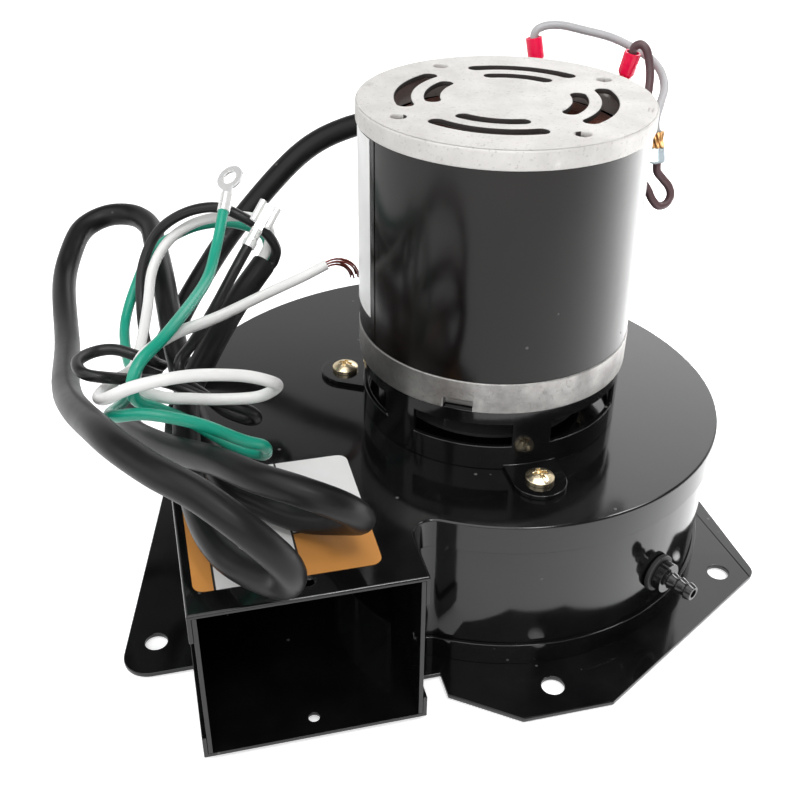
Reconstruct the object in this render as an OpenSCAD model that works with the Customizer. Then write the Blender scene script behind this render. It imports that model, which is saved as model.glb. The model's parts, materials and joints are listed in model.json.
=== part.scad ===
// Furnace draft inducer: a scroll blower of painted sheet steel with its motor on top.
// The origin lies on the motor axis at the underside of the mounting plate.
// +Z runs up the motor axis, and the open outlet duct faces -Y.

/* [Sheet metal] */
// Thickness of the painted sheet
sheet_t = 1.2; // [0.8:0.1:1.6]
// Clearance between sheets that nest in each other
nest_gap = 0.1; // [0.05:0.05:0.2]
// Depth of the rim that the cover folds down over the wall
cover_rim_d = 9.5; // [6:0.5:14]
// Depth of the rim that the pan folds up round the wall
pan_rim_d = 7.5; // [5:0.5:12]

/* [Scroll] */
// Height from the underside of the mounting plate to the top of the cover
housing_h = 54; // [52:0.5:62]
// Radius of the scroll wall from the tongue round to the right
arc_front_r = 69.2; // [67:0.1:74]
// Radius of the scroll wall from the right round to the back
arc_right_r = 85.7; // [80:0.1:90]
// Radius of the scroll wall from the back to the outlet's left wall
arc_back_r = 90.2; // [86:0.1:96]
// Offset of the front arc's centre from the motor axis along X
scroll_dx = 4; // [0:0.5:8]
// Offset of the front arc's centre from the motor axis along Y
scroll_dy = 2; // [0:0.5:6]
// Radius of the concave tongue between the scroll and the outlet
tongue_r = 7; // [4:0.5:10]

/* [Outlet] */
// Width of the outlet duct over its walls
outlet_w = 60.4; // [54:0.1:64]
// Distance of the outlet's mouth from the motor axis
mouth_y = 80; // [76:0.5:90]
// Diameter of the screw holes round the mouth
duct_hole_d = 3.2; // [2:0.1:4.5]
// Distance of those holes from the mouth
duct_hole_edge = 6; // [4:0.5:8]

/* [Mounting plate] */
// Thickness of the mounting plate
plate_t = 1.5; // [1:0.1:2.5]
// Distance of the right edge from the motor axis
plate_right = 81; // [76:0.5:90]
// Distance of the front edge from the motor axis
plate_front = 87.7; // [84:0.1:96]
// Distance of the back edge from the motor axis
plate_back = 97; // [94:0.5:106]
// Distance of the left corner from the motor axis
plate_left = 126; // [122:0.5:134]
// Distance of the left ear's front edge from the motor axis
ear_front = 45.5; // [42:0.5:50]
// Corner radius of the left ear
ear_corner_r = 8; // [4:0.5:10]
// Corner radius at the right
plate_corner_r = 5; // [3:0.5:8]
// Diameter of the mounting holes
bolt_d = 6.8; // [5:0.1:8]
// Distance of the mounting holes from the edges
bolt_edge = 11.9; // [9:0.1:14]

/* [Inlet] */
// Diameter of the round inlet opening
inlet_d = 62; // [54:0.5:66]
// Height of the collar that leads the gas into the impeller
inlet_collar_h = 6; // [3:0.5:8]

/* [Motor bracket] */
// Outer diameter of the bracket's collar
bracket_d = 81; // [78:0.5:84]
// Height of the bracket
bracket_h = 20; // [18:0.5:26]
// Thickness of the bracket's sheet
bracket_t = 1.5; // [1:0.1:2]
// Number of vent windows round the collar
window_n = 6; // [4:1:8]
// Angle that each window takes
window_span = 43; // [30:1:46]
// Height of each window
window_h = 7.5; // [5:0.5:9]
// Height of the windows' lower edge above the cover
window_z = 8; // [5:0.5:9]
// Width of the three feet
foot_w = 16; // [12:0.5:20]
// How far each foot's screw stands out from the collar's wall
foot_reach = 8.3; // [7.5:0.1:10]
// Diameter of the foot screws' heads
screw_head_d = 8.5; // [7:0.1:10]
// Height of the foot screws' heads
screw_head_h = 2.8; // [2:0.1:3.5]
// Diameter of the foot screws' shanks
screw_d = 4; // [3:0.1:5]

/* [Motor] */
// Outer diameter of the rolled steel shell
shell_d = 82.6; // [78:0.1:88]
// Height of the shell between the end bells
shell_h = 62.6; // [58:0.1:72]
// Thickness of the shell
shell_t = 1.2; // [0.8:0.1:1.8]
// How far the upper end bell stands out past the shell
upper_bell_lip = 0.7; // [0.3:0.1:2]
// Height of the upper end bell's rim
upper_bell_h = 5.8; // [4:0.1:9]
// How far the lower end bell stands out past the shell
lower_bell_lip = 0.2; // [0.1:0.1:2]
// Height of the lower end bell's band
lower_bell_h = 10; // [8:0.5:14]
// Thickness of the end bells' plates
bell_t = 4; // [3:0.1:5]
// Thickness of the upper bell's vented top
bell_top_t = 1.8; // [1.5:0.1:3]
// Depth that the end bells reach into the shell
spigot_h = 4; // [3:0.5:6]
// Diameter of the shaft
shaft_d = 7.94; // [6:0.01:10]
// Radial clearance of the shaft in its bearings
bearing_gap = 0.03; // [0.02:0.01:0.08]
// Outer diameter of the sleeve bearings
bearing_d = 16; // [14:0.5:18]
// Length of the sleeve bearings
bearing_h = 8; // [6:0.5:10]
// Height of the stator's laminations
stack_h = 30; // [24:1:34]
// Radial thickness of the stator's laminations
stator_w = 17.6; // [16:0.1:20]
// Radial air gap between rotor and stator
air_gap = 0.4; // [0.3:0.05:0.6]
// Height of each winding end turn
winding_h = 17; // [10:0.5:18]
// Radial thickness of the winding end turns
winding_w = 10.5; // [8:0.5:12]

/* [Upper end bell vents] */
// Number of vent groups
vent_n = 4; // [3:1:5]
// Direction of the first vent group
vent_a = -119; // [-180:1:180]
// Radius of the middle of the inner slots
inner_slot_r = 20.6; // [18:0.1:22]
// Width of the inner slots
inner_slot_w = 4.4; // [3:0.1:5]
// Angle that the inner slots take
inner_slot_span = 57; // [40:1:62]
// Radius of the middle of the outer slots
outer_slot_r = 28.8; // [27:0.1:30]
// Width of the outer slots
outer_slot_w = 4.7; // [3:0.1:5]
// Angle that the outer slots take
outer_slot_span = 66; // [50:1:72]
// Diameter of the accessory holes in the upper end bell
bell_hole_d = 4.4; // [3:0.1:5]
// Distance of the accessory holes from the bell's edge
bell_hole_edge = 7.5; // [6:0.1:8]

/* [Impeller] */
// Outer diameter of the impeller
impeller_d = 104; // [98:0.5:108]
// Inner diameter of the blade ring
blade_inner_d = 74; // [70:0.5:80]
// Number of blades
blade_n = 20; // [12:1:26]
// Height of the blades
blade_h = 30; // [24:0.5:32]
// Thickness of the blades and of their two plates
blade_t = 1; // [0.8:0.1:1.4]
// Radius of curvature of the blades
blade_r = 16; // [14:0.5:22]
// Height of the inlet ring's underside above the mounting plate
impeller_z = 13; // [11:0.5:14]
// Diameter of the hub
hub_d = 20; // [16:0.5:24]
// Length of the hub below the back plate
hub_h = 16; // [12:0.5:20]

/* [Cooling fan] */
// Diameter of the fan inside the bracket
fan_d = 60; // [50:0.5:64]
// Height of the fan's blades
fan_blade_h = 8; // [5:0.5:9]
// Number of fan blades
fan_blade_n = 8; // [5:1:12]

/* [Pressure tap] */
// Direction of the tap, seen from the front arc's centre
tap_a = -62; // [-70:0.5:-55]
// Height of the tap
tap_z = 22; // [18:0.5:30]
// Length of the barbed tube outside the wall
tap_l = 13.8; // [11:0.1:18]
// Diameter of the tube's bore
tap_bore_d = 2.6; // [2:0.1:3]

/* [Capacitor] */
// Direction of the capacitor, seen from the motor axis
cap_a = 46; // [40:1:52]
// Width of the capacitor
cap_w = 44; // [38:0.5:46]
// Thickness of the capacitor
cap_d = 24; // [18:0.5:26]
// Height of the capacitor
cap_h = 34; // [26:0.5:38]
// Distance between its two terminals
cap_pitch = 26; // [22:0.5:30]
// Outward lean of the terminals
cap_lean = 12; // [0:1:14]

/* [Leads] */
// Diameter of the power cord's jacket
cord_d = 7.8; // [7:0.1:9]
// Diameter of the power cord's conductors
core_d = 3.3; // [2.8:0.1:3.4]
// Diameter of the motor's own leads
lead_d = 2.6; // [2:0.1:3]

/* [Hidden] */
$fn = 64;
far = 300;
past = 1;

// Heights of the stack, from the plate upwards
floor_z = plate_t + sheet_t;
cover_z = housing_h - sheet_t;
motor_z = housing_h + bracket_h;
shell_z = motor_z + lower_bell_h;
upper_z = shell_z + shell_h;
end_z = upper_z + upper_bell_h;

// Centres of the scroll's three tangent arcs, and the outlet's walls
front_c = [scroll_dx, scroll_dy];
right_c = [scroll_dx + arc_front_r - arc_right_r, scroll_dy];
back_c = [right_c.x, scroll_dy + arc_right_r - arc_back_r];
duct_x0 = back_c.x - arc_back_r;
duct_x1 = duct_x0 + outlet_w;
duct_x = (duct_x0 + duct_x1) / 2;
duct_hole_y = duct_hole_edge - mouth_y;
tongue_c = [duct_x1 + tongue_r,
    front_c.y - sqrt(pow(arc_front_r + tongue_r, 2) - pow(duct_x1 + tongue_r - front_c.x, 2))];
tongue_a = atan2(tongue_c.y - front_c.y, tongue_c.x - front_c.x);
tongue_on_arc = front_c + arc_front_r * [cos(tongue_a), sin(tongue_a)];

// Corners of the mounting plate, each with its radius, counter-clockwise
notch_x = duct_x1 + 9.3;
ear_slant = 0.216;
ear_back = plate_back - 17;
ear_cut = 22;
corner_cut = [27, 24];
plate_corners = [
    [-plate_left, -ear_front, ear_corner_r],
    [duct_x0 + 4, -ear_front, 0],
    [duct_x1 - 3, 14.5 - mouth_y, 0],
    [notch_x, 14.5 - mouth_y, 0],
    [notch_x, 6 - mouth_y, 0],
    [-14.6, -plate_front, 0],
    [13, -plate_front, 0],
    [plate_right, -47, plate_corner_r],
    [plate_right, plate_back - corner_cut.y, plate_corner_r],
    [plate_right - corner_cut.x, plate_back, plate_corner_r],
    [ear_slant * (ear_back + ear_front) - plate_left + ear_cut, plate_back, plate_corner_r],
    [ear_slant * (ear_back + ear_front) - plate_left, ear_back, plate_corner_r]];
bolt_holes = [
    [bolt_edge - plate_left, bolt_edge - ear_front + 1],
    [-2, bolt_edge - plate_front - 2],
    [plate_right - bolt_edge, -44],
    [plate_right - bolt_edge, plate_back - 34],
    [bolt_edge + ear_slant * (ear_back + ear_front) - plate_left + 3, ear_back - 4]];

// Motor, seen from its axis
shell_r = shell_d / 2;
shell_in_r = shell_r - shell_t;
spigot_r = shell_in_r - nest_gap;
upper_bell_r = shell_r + upper_bell_lip;
lower_bell_r = shell_r + lower_bell_lip;
spigot_w = 4;
shaft_r = shaft_d / 2;
motor_head_d = 4.6;
motor_head_h = 2;
bracket_r = bracket_d / 2;
foot_screw_r = bracket_r + foot_reach;
motor_screw_d = 3.6;
motor_screw_n = 4;
// The motor's screws stand inside both the bell's spigot and the collar's wall
motor_screw_r = min(spigot_r - 0.8, bracket_r - bracket_t) - motor_head_d / 2 - 1.3;
bracket_lip_r = motor_screw_r - 2.6;
foot_n = 3;
foot_a = -90;
cover_hole_r = 13;
bearing_r = bearing_d / 2;
boss_r = bearing_r + 4;
lower_bearing_z = motor_z + 0.5;
upper_bearing_z = end_z - bell_t - bearing_h;
stack_z = (lower_bearing_z + bearing_h + upper_bearing_z - stack_h) / 2;
rotor_r = spigot_r - stator_w - air_gap;
winding_inset = 4.5;
winding_mid_r = spigot_r - winding_inset - winding_w / 2;
lower_vent_gap = 5;
lower_vent_w = 7;
lower_vent_span = 50;
end_ring_h = 5;

// Impeller and fan
back_plate_z = impeller_z + blade_t + blade_h;
shaft_z = back_plate_z + blade_t - hub_h;
impeller_r = impeller_d / 2;
blade_c = (impeller_d + blade_inner_d) / 4 - 2.5;
function blade_end(r) = acos((r * r - blade_c * blade_c - blade_r * blade_r) / (2 * blade_c * blade_r));
blade_a0 = -blade_end(blade_inner_d / 2 + 0.5);
blade_a1 = -blade_end(impeller_r - 0.5);
fan_z = housing_h + 4;
set_screw_d = 4;

// Pressure tap
tap_hole_r = 3.6;
tap_collar_r = 4.8;
tap_tube_r = 2.2;

// Capacitor, standing behind the shell
cap_gap = 2.3;
cap_r = shell_r + cap_gap + cap_d / 2;
cap_top = upper_z - 9.6;
sleeve_z = 2;
sleeve_h = 15.5;
sleeve_cup = 1.5;
tab = [0.8, 4.8, 9];

// Where the leads pass through the shell, as direction and height
relief_a = 98;
relief_z = shell_z + 38;
relief_l = 22;
relief_wall = 2;
lead_holes = [[16, shell_z + 51], [9.5, shell_z + 39.5]];
lead_hole_r = lead_d / 2 + 1.4;
shell_mid_r = shell_r - shell_t / 2;
function on_shell(hole) = [shell_mid_r * cos(hole[0]), shell_mid_r * sin(hole[0]), hole[1]];

// Routes of the cord and of the leads, as chosen
power_cord_path = [on_shell([relief_a, relief_z]), [-8.9, 63.5, 122], [-15, 74.5, 121.5], [-28, 82, 118.5],
    [-46, 84, 109], [-70, 77, 88], [-87, 62, 73], [-100, 43, 62], [-110, 24, 57], [-114, 0, 60], [-105, -29, 71],
    [-92, -55, 82], [-83, -70, 86], [-74, -76, 85], [-64, -78, 80], [-58, -73, 71], [-61, -63, 63],
    [-70, -55, 59], [-79, -47, 59], [-88, -36, 59], [-92, -18, 60], [-95, 4, 63], [-97, 24, 72],
    [-98, 56, 82], [-99, 74, 85], [-100, 86, 86.5], [-105, 95.5, 87], [-114, 98.8, 86.5], [-123, 95, 84],
    [-128, 84, 80], [-131, 68, 75], [-130, 31, 73], [-128, -17.5, 84], [-118, -61, 99], [-108, -79, 100],
    [-98, -89, 98], [-88, -96, 91], [-80, -96, 79], [-80, -89, 68], [-87, -79, 64], [-93, -70, 64],
    [-97, -55, 64], [-98, -35, 65], [-96, -8, 71], [-88, 8, 77], [-76, 27, 84], [-66, 37, 91]];
core_white_path = [[-66.7, 36.3, 92.9], [-64, 39.6, 95.5], [-62.8, 41.2, 98.8], [-63.8, 41.4, 102.8],
    [-68, 41, 105.5], [-76, 43, 106],
    [-86, 47, 103], [-95, 48, 97], [-101, 43, 90], [-104, 31, 83], [-107, 15, 80], [-110, 0, 80],
    [-115, -13, 84], [-119, -28, 89], [-117, -40, 95], [-109, -44, 100], [-96, -42, 100],
    [-83, -38, 96], [-75, -36, 92], [-72, -30, 86], [-77, -26, 81], [-87, -25, 81], [-95, -26, 83],
    [-103, -28, 86], [-109, -29, 91], [-107, -25, 97], [-98, -16, 98], [-84, 1, 93], [-69, 19, 89],
    [-55, 27, 90], [-47, 28, 93]];
core_black_path = [[-64.4, 36, 90.1], [-62.6, 36.6, 92.1], [-61.8, 36.2, 96.5], [-64.6, 35.9, 102],
    [-70.5, 36.6, 107.2],
    [-79, 40, 110.5], [-89, 45, 107.5], [-98, 49, 100], [-104, 46, 90], [-106, 39, 80],
    [-106, 26, 74], [-104, 6, 78], [-102, -6, 83], [-107, -11, 89], [-114, -10, 92],
    [-120, -11, 92.5], [-124, -17, 93.5], [-122, -24, 93.5], [-114, -24, 91], [-102, -17, 84],
    [-91, -19.5, 78.5], [-84, -23, 77.5], [-79, -24, 75], [-77.5, -22.5, 71.5], [-80, -19.5, 69.5],
    [-86, -16.5, 71.5], [-91, -14, 76],
    [-96, -13, 81], [-97, -11, 86], [-92, -3, 88], [-85, 9, 91], [-77, 19.5, 98], [-72, 24, 103.5]];
core_green_path = [[-67, 38.6, 90.1], [-64, 41.8, 92.4], [-64, 45, 97], [-69, 47, 100], [-77, 50, 101],
    [-88, 54, 98], [-100, 57, 90], [-107, 51, 81], [-112, 39, 73], [-112, 20, 71], [-110, 2, 74],
    [-114, -14, 77], [-117, -30, 84], [-115, -41, 90], [-107, -45, 92], [-95, -46, 88],
    [-84, -46, 81], [-78, -43, 76], [-78, -37, 69], [-86, -30, 69], [-96, -27, 76], [-104, -31.5, 84.5],
    [-110, -36, 92], [-108, -34, 100], [-99, -22, 102.5], [-87, 5, 102], [-82, 19, 106],
    [-78, 30, 113]];
lead_grey_path = [[27.02, 51.34, 152.86], [26.77, 51.58, 154.4], [27.3, 51.5, 156.1], [28.8, 51.4, 157.1],
    [31.6, 50.9, 157.8], [35.8, 49.5, 157.8], [41.3, 46.7, 156.8],
    [49, 42, 155.3], [55, 37.5, 152.8], [59, 32, 150.4], [60.5, 27, 147.4], [59.5, 22, 144.2],
    [56.5, 17.2, 142], [53.8, 13, 140.6], [52.1, 10.5, 138.3], [52.3, 9.8, 135.5]];
lead_brown_path = [[50.36, 28.8, 152.86], [50.62, 28.55, 154.52], [51, 28.15, 156], [52.2, 27, 156.8],
    [53.5, 25.7, 155.6], [54.3, 24.7, 152.9], [54.6, 23.4, 149.6], [54.3, 22.1, 146.2], [53.2, 20.3, 142.2], [50.4, 17.4, 138.1],
    [46.1, 13.2, 135.2], on_shell(lead_holes[0])];
lead_loop_path = [[52.9, 7.5, 126.2], [53.1, 6.9, 123.5], [55, 6.3, 121.2], [56.9, 5.4, 118.9],
    [57.5, 4.6, 116.2], [56, 4, 113.9], [53.3, 3.8, 113.6], [51.2, 4.4, 115.8], [49.8, 5.6, 118.8],
    [47.6, 7, 121.6], [44.5, 7.4, 123.5], on_shell(lead_holes[1])];

// Frames carried along a route, and the ring of points round each of its places
function unit(v) = v / norm(v);
function heading(path, i) = unit(path[min(i + 1, len(path) - 1)] - path[max(i - 1, 0)]);
function across(v, t) = unit(v - (v * t) * t);
function sides_of(path, i = 1, done = []) =
    i > len(path) ? done :
    sides_of(path, i + 1, concat(done,
        [across(i == 1 ? [0.31, 0.17, 0.93] : done[i - 2], heading(path, i - 1))]));

module tube(path, d, sides = 8) {
    normals = sides_of(path);
    last = len(path) - 1;
    points = [for (i = [0 : last]) for (k = [0 : sides - 1])
        let (a = 360 * k / sides, n = normals[i], b = cross(heading(path, i), n))
        path[i] + d / 2 * (cos(a) * n + sin(a) * b)];
    walls = [for (i = [0 : last - 1]) for (k = [0 : sides - 1])
        let (a = i * sides + k, b = i * sides + (k + 1) % sides)
        each [[a, b + sides, b], [a, a + sides, b + sides]]];
    start = [for (k = [0 : sides - 1]) k];
    stop = [for (k = [sides - 1 : -1 : 0]) last * sides + k];
    polyhedron(points = points, faces = concat(walls, [start, stop]));
}

// Stands what follows at a place, with its +Z along a direction
module stand_along(place, dir) {
    translate(place) rotate([0, acos(dir.z / norm(dir)), atan2(dir.y, dir.x)]) children();
}

module ring(r_out, r_in, h) {
    difference() {
        cylinder(r = r_out, h = h);
        translate([0, 0, -past]) cylinder(r = r_in, h = h + 2 * past);
    }
}

module around(n, a = 0) {
    for (i = [0 : n - 1]) rotate([0, 0, a + 360 * i / n]) children();
}

// A curved slot with round ends, centred on the +X direction
module arc_slot(mid, w, span, h) {
    end_r = w / 2;
    inner_span = span - 2 * asin(end_r / mid);
    rotate([0, 0, -inner_span / 2]) rotate_extrude(angle = inner_span)
        translate([mid - end_r, 0]) square([w, h]);
    for (s = [-1, 1]) rotate([0, 0, s * inner_span / 2]) translate([mid, 0, 0]) cylinder(r = end_r, h = h);
}

// Rounded rectangle of exact arcs, centred on the origin
module round_rect(w, d, r) {
    square([w - 2 * r, d], center = true);
    square([w, d - 2 * r], center = true);
    for (x = [-1, 1], y = [-1, 1]) translate([x * (w / 2 - r), y * (d / 2 - r)]) circle(r = r);
}

// Outline of a counter-clockwise list of [x, y, corner radius]
module corner_outline(corners) {
    n = len(corners);
    function place(i) = [corners[(i + n) % n].x, corners[(i + n) % n].y];
    function to_prev(i) = unit(place(i - 1) - place(i));
    function to_next(i) = unit(place(i + 1) - place(i));
    function half_angle(i) = acos(to_prev(i) * to_next(i)) / 2;
    function cut(i) = corners[i][2] / tan(half_angle(i));
    polygon([for (i = [0 : n - 1]) each corners[i][2] == 0 ? [place(i)] :
        [place(i) + cut(i) * to_prev(i), place(i) + cut(i) * to_next(i)]]);
    for (i = [0 : n - 1]) if (corners[i][2] > 0)
        translate(place(i) + corners[i][2] / sin(half_angle(i)) * unit(to_prev(i) + to_next(i)))
            circle(r = corners[i][2]);
}

// The scroll seen from above, grown outwards, with the duct run past its mouth
module scroll_outline(grow = 0, beyond = 0) {
    difference() {
        union() {
            intersection() {
                translate(front_c) circle(r = arc_front_r + grow);
                translate([-far / 2, front_c.y - far]) square(far);
            }
            intersection() {
                translate(right_c) circle(r = arc_right_r + grow);
                translate(right_c) square(far);
            }
            intersection() {
                translate(back_c) circle(r = arc_back_r + grow);
                translate([back_c.x - far, min(back_c.y, front_c.y)]) square(far);
            }
            translate([duct_x0 - grow, -mouth_y - beyond])
                square([outlet_w + 2 * grow, mouth_y + beyond + back_c.y]);
            polygon([[duct_x1, tongue_c.y], tongue_c, tongue_on_arc, [duct_x1, front_c.y]]);
        }
        translate(tongue_c) circle(r = tongue_r - grow);
    }
}

// A sheet rim that stands outside the scroll wall, open at the mouth
module rim(h) {
    linear_extrude(h) difference() {
        scroll_outline(nest_gap + sheet_t);
        scroll_outline(nest_gap, past);
    }
}

module duct_hole(z) {
    translate([duct_x, duct_hole_y, z - past]) cylinder(d = duct_hole_d, h = sheet_t + 2 * past);
}

module mounting_plate() {
    color([0.03, 0.03, 0.035]) linear_extrude(plate_t) difference() {
        corner_outline(plate_corners);
        circle(d = inlet_d);
        for (hole = bolt_holes) translate(hole) circle(d = bolt_d);
    }
}

module bottom_pan() {
    color([0.03, 0.03, 0.035]) translate([0, 0, plate_t]) difference() {
        union() {
            linear_extrude(sheet_t) scroll_outline(nest_gap + sheet_t);
            rim(pan_rim_d);
            cylinder(d = inlet_d + 2 * sheet_t, h = sheet_t + inlet_collar_h);
        }
        translate([0, 0, -past]) cylinder(d = inlet_d, h = sheet_t + inlet_collar_h + 2 * past);
        duct_hole(0);
    }
}

module scroll_wall() {
    color([0.03, 0.03, 0.035]) difference() {
        translate([0, 0, floor_z]) linear_extrude(cover_z - floor_z) difference() {
            scroll_outline();
            scroll_outline(-sheet_t, past);
        }
        translate([duct_x0 - past, duct_hole_y, housing_h / 2]) rotate([0, 90, 0])
            cylinder(d = duct_hole_d, h = outlet_w + 2 * past);
        at_tap() translate([0, 0, -6]) cylinder(r = tap_hole_r, h = 12);
    }
}

module top_cover() {
    color([0.03, 0.03, 0.035]) difference() {
        union() {
            translate([0, 0, cover_z]) linear_extrude(sheet_t) scroll_outline(nest_gap + sheet_t);
            translate([0, 0, housing_h - cover_rim_d]) rim(cover_rim_d);
        }
        translate([0, 0, cover_z - past]) cylinder(r = cover_hole_r, h = sheet_t + 2 * past);
        duct_hole(cover_z);
        around(foot_n, foot_a) translate([foot_screw_r, 0, cover_z - past])
            cylinder(d = screw_d + 2 * nest_gap, h = sheet_t + 2 * past);
    }
}

// Collar that carries the motor on three feet, with vent windows round it
module motor_bracket() {
    color([0.03, 0.03, 0.035]) translate([0, 0, housing_h]) difference() {
        union() {
            ring(bracket_r, bracket_r - bracket_t, bracket_h);
            ring(bracket_r, cover_hole_r + 8, bracket_t);
            translate([0, 0, bracket_h - bracket_t]) ring(bracket_r, bracket_lip_r, bracket_t);
            around(foot_n, foot_a) linear_extrude(bracket_t) {
                translate([bracket_r - 5, -foot_w / 2]) square([foot_screw_r - bracket_r + 5, foot_w]);
                translate([foot_screw_r, 0]) circle(d = foot_w);
            }
        }
        around(window_n) translate([0, 0, window_z]) rotate([0, 0, -window_span / 2])
            rotate_extrude(angle = window_span) translate([bracket_r - bracket_t - past, 0])
            square([bracket_t + 2 * past, window_h]);
        around(foot_n, foot_a) translate([foot_screw_r, 0, -past])
            cylinder(d = screw_d + 2 * nest_gap, h = bracket_t + 2 * past);
        around(motor_screw_n, 45) translate([motor_screw_r, 0, bracket_h - bracket_t - past])
            cylinder(d = motor_screw_d + 2 * nest_gap, h = bracket_t + 2 * past);
    }
}

// Pan head with a cross recess, its underside at z = 0 and its shank below
module pan_screw(head_d, head_h, shank_d, shank_l) {
    translate([0, 0, -shank_l]) cylinder(d = shank_d, h = shank_l + head_h / 2);
    difference() {
        rotate_extrude() intersection() {
            square([head_d / 2, head_h]);
            translate([0, head_h - pow(head_d, 2) / head_h / 4]) circle(r = pow(head_d, 2) / head_h / 4);
        }
        for (a = [0, 90]) rotate([0, 0, a]) translate([-head_d / 4, -0.6, head_h / 2])
            cube([head_d / 2, 1.2, head_h]);
    }
}

module bracket_screws() {
    color([0.78, 0.6, 0.3]) around(foot_n, foot_a)
        translate([foot_screw_r, 0, housing_h + bracket_t])
            pan_screw(screw_head_d, screw_head_h, screw_d, bracket_t + sheet_t + 2);
}

module motor_screws() {
    color([0.6, 0.6, 0.6]) around(motor_screw_n, 45)
        translate([motor_screw_r, 0, motor_z - bracket_t]) rotate([180, 0, 0])
            pan_screw(motor_head_d, motor_head_h, motor_screw_d, bracket_t + bell_t - 1);
}

module lower_end_bell() {
    notch = [8.7, 6, 3.5];
    color([0.62, 0.62, 0.6]) difference() {
        translate([0, 0, motor_z]) {
            ring(lower_bell_r, spigot_r - spigot_w, lower_bell_h);
            ring(lower_bell_r, bearing_r, bell_t);
            ring(spigot_r, spigot_r - spigot_w, lower_bell_h + spigot_h);
            ring(boss_r, bearing_r, bearing_h + 0.5);
        }
        rotate([0, 0, -121.5]) translate([lower_bell_r - 3, -notch.x / 2, motor_z - past])
            cube([notch.y, notch.x, notch.z + past]);
        around(motor_screw_n, 45) translate([motor_screw_r, 0, motor_z - past])
            cylinder(d = motor_screw_d + nest_gap, h = bell_t + past);
        around(vent_n) translate([0, 0, motor_z - past])
            arc_slot(boss_r + lower_vent_gap + lower_vent_w / 2, lower_vent_w, lower_vent_span, bell_t + 2 * past);
    }
}

module motor_shell() {
    color([0.02, 0.02, 0.025]) difference() {
        translate([0, 0, shell_z]) ring(shell_r, shell_in_r, shell_h);
        at_shell(relief_a, relief_z) cylinder(r = cord_d / 2 + relief_wall, h = 2 * cord_d, center = true);
        for (hole = lead_holes) at_shell(hole[0], hole[1]) cylinder(r = lead_hole_r, h = 2 * cord_d, center = true);
    }
}

// Puts +Z along the shell's outward normal, with the origin on its outer face
module at_shell(a, z) {
    rotate([0, 0, a]) translate([shell_r, 0, z]) rotate([0, 90, 0]) children();
}

module upper_end_bell() {
    edge = 0.6;
    r = upper_bell_r;
    color([0.7, 0.7, 0.68]) difference() {
        union() {
            rotate_extrude() polygon([[spigot_r - spigot_w, upper_z], [r, upper_z], [r, end_z - edge],
                [r - edge, end_z], [0, end_z], [0, end_z - bell_top_t],
                [spigot_r - spigot_w, end_z - bell_top_t]]);
            translate([0, 0, upper_z - spigot_h]) ring(spigot_r, spigot_r - spigot_w, spigot_h + bell_t / 2);
            translate([0, 0, upper_bearing_z]) ring(boss_r, bearing_r, bearing_h + bell_t - bell_top_t / 2);
        }
        around(vent_n, vent_a) translate([0, 0, end_z - bell_t - past]) {
            arc_slot(inner_slot_r, inner_slot_w, inner_slot_span, bell_t + 2 * past);
            arc_slot(outer_slot_r, outer_slot_w, outer_slot_span, bell_t + 2 * past);
        }
        around(vent_n, vent_a + 180 / vent_n) translate([r - bell_hole_edge, 0, end_z - bell_t - past])
            cylinder(d = bell_hole_d, h = bell_t + 2 * past);
        around(vent_n, vent_a) translate([r - 3, -1.6, end_z - 0.5]) cube([1.2, 3.2, past]);
    }
}

module stator_core() {
    color([0.35, 0.35, 0.36]) translate([0, 0, stack_z]) difference() {
        ring(spigot_r, rotor_r + air_gap, stack_h);
        around(12) translate([rotor_r + 6, 0, -past]) cylinder(d = 6.5, h = stack_h + 2 * past);
    }
}

module stator_windings() {
    color([0.72, 0.38, 0.18]) for (z = [stack_z - winding_h, stack_z + stack_h])
        translate([0, 0, z]) rotate_extrude() translate([winding_mid_r, winding_h / 2])
            round_rect(winding_w, winding_h, 2.5);
}

module bearing() {
    color([0.66, 0.5, 0.28]) ring(bearing_r, shaft_r + bearing_gap, bearing_h);
}

module lower_bearing() {
    translate([0, 0, lower_bearing_z]) bearing();
}

module upper_bearing() {
    translate([0, 0, upper_bearing_z]) bearing();
}

module shaft() {
    color([0.75, 0.75, 0.77]) translate([0, 0, shaft_z])
        cylinder(r = shaft_r, h = upper_bearing_z + bearing_h - 0.5 - shaft_z);
}

module rotor_core() {
    color([0.4, 0.4, 0.42]) translate([0, 0, stack_z]) ring(rotor_r, shaft_r, stack_h);
}

module rotor_end_rings() {
    color([0.72, 0.72, 0.74]) for (z = [stack_z - end_ring_h, stack_z + stack_h])
        translate([0, 0, z]) ring(rotor_r - 1, rotor_r - 9, end_ring_h);
}

// Sleeves on the shaft that keep the rotor between its bearings
module thrust_sleeves() {
    run = 0.3;
    low = lower_bearing_z + bearing_h + run;
    high = stack_z + stack_h;
    color([0.85, 0.82, 0.7]) {
        translate([0, 0, low]) ring(shaft_r + 2.5, shaft_r, stack_z - low);
        translate([0, 0, high]) ring(shaft_r + 2.5, shaft_r, upper_bearing_z - run - high);
    }
}

module cooling_fan() {
    hub_r = shaft_r + 4;
    color([0.3, 0.3, 0.31]) translate([0, 0, fan_z]) difference() {
        union() {
            cylinder(r = hub_r, h = fan_blade_h + blade_t);
            cylinder(d = fan_d, h = blade_t);
            around(fan_blade_n) translate([hub_r - 1, -blade_t / 2, 0])
                cube([fan_d / 2 - hub_r, blade_t, fan_blade_h + blade_t]);
        }
        translate([0, 0, -past]) cylinder(r = shaft_r, h = fan_blade_h + blade_t + 2 * past);
    }
}

module impeller_hub() {
    color([0.6, 0.6, 0.62]) translate([0, 0, shaft_z]) difference() {
        ring(hub_d / 2, shaft_r, hub_h);
        translate([0, 0, hub_h / 2]) rotate([0, 90, 0]) cylinder(d = set_screw_d, h = hub_d);
    }
}

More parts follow.
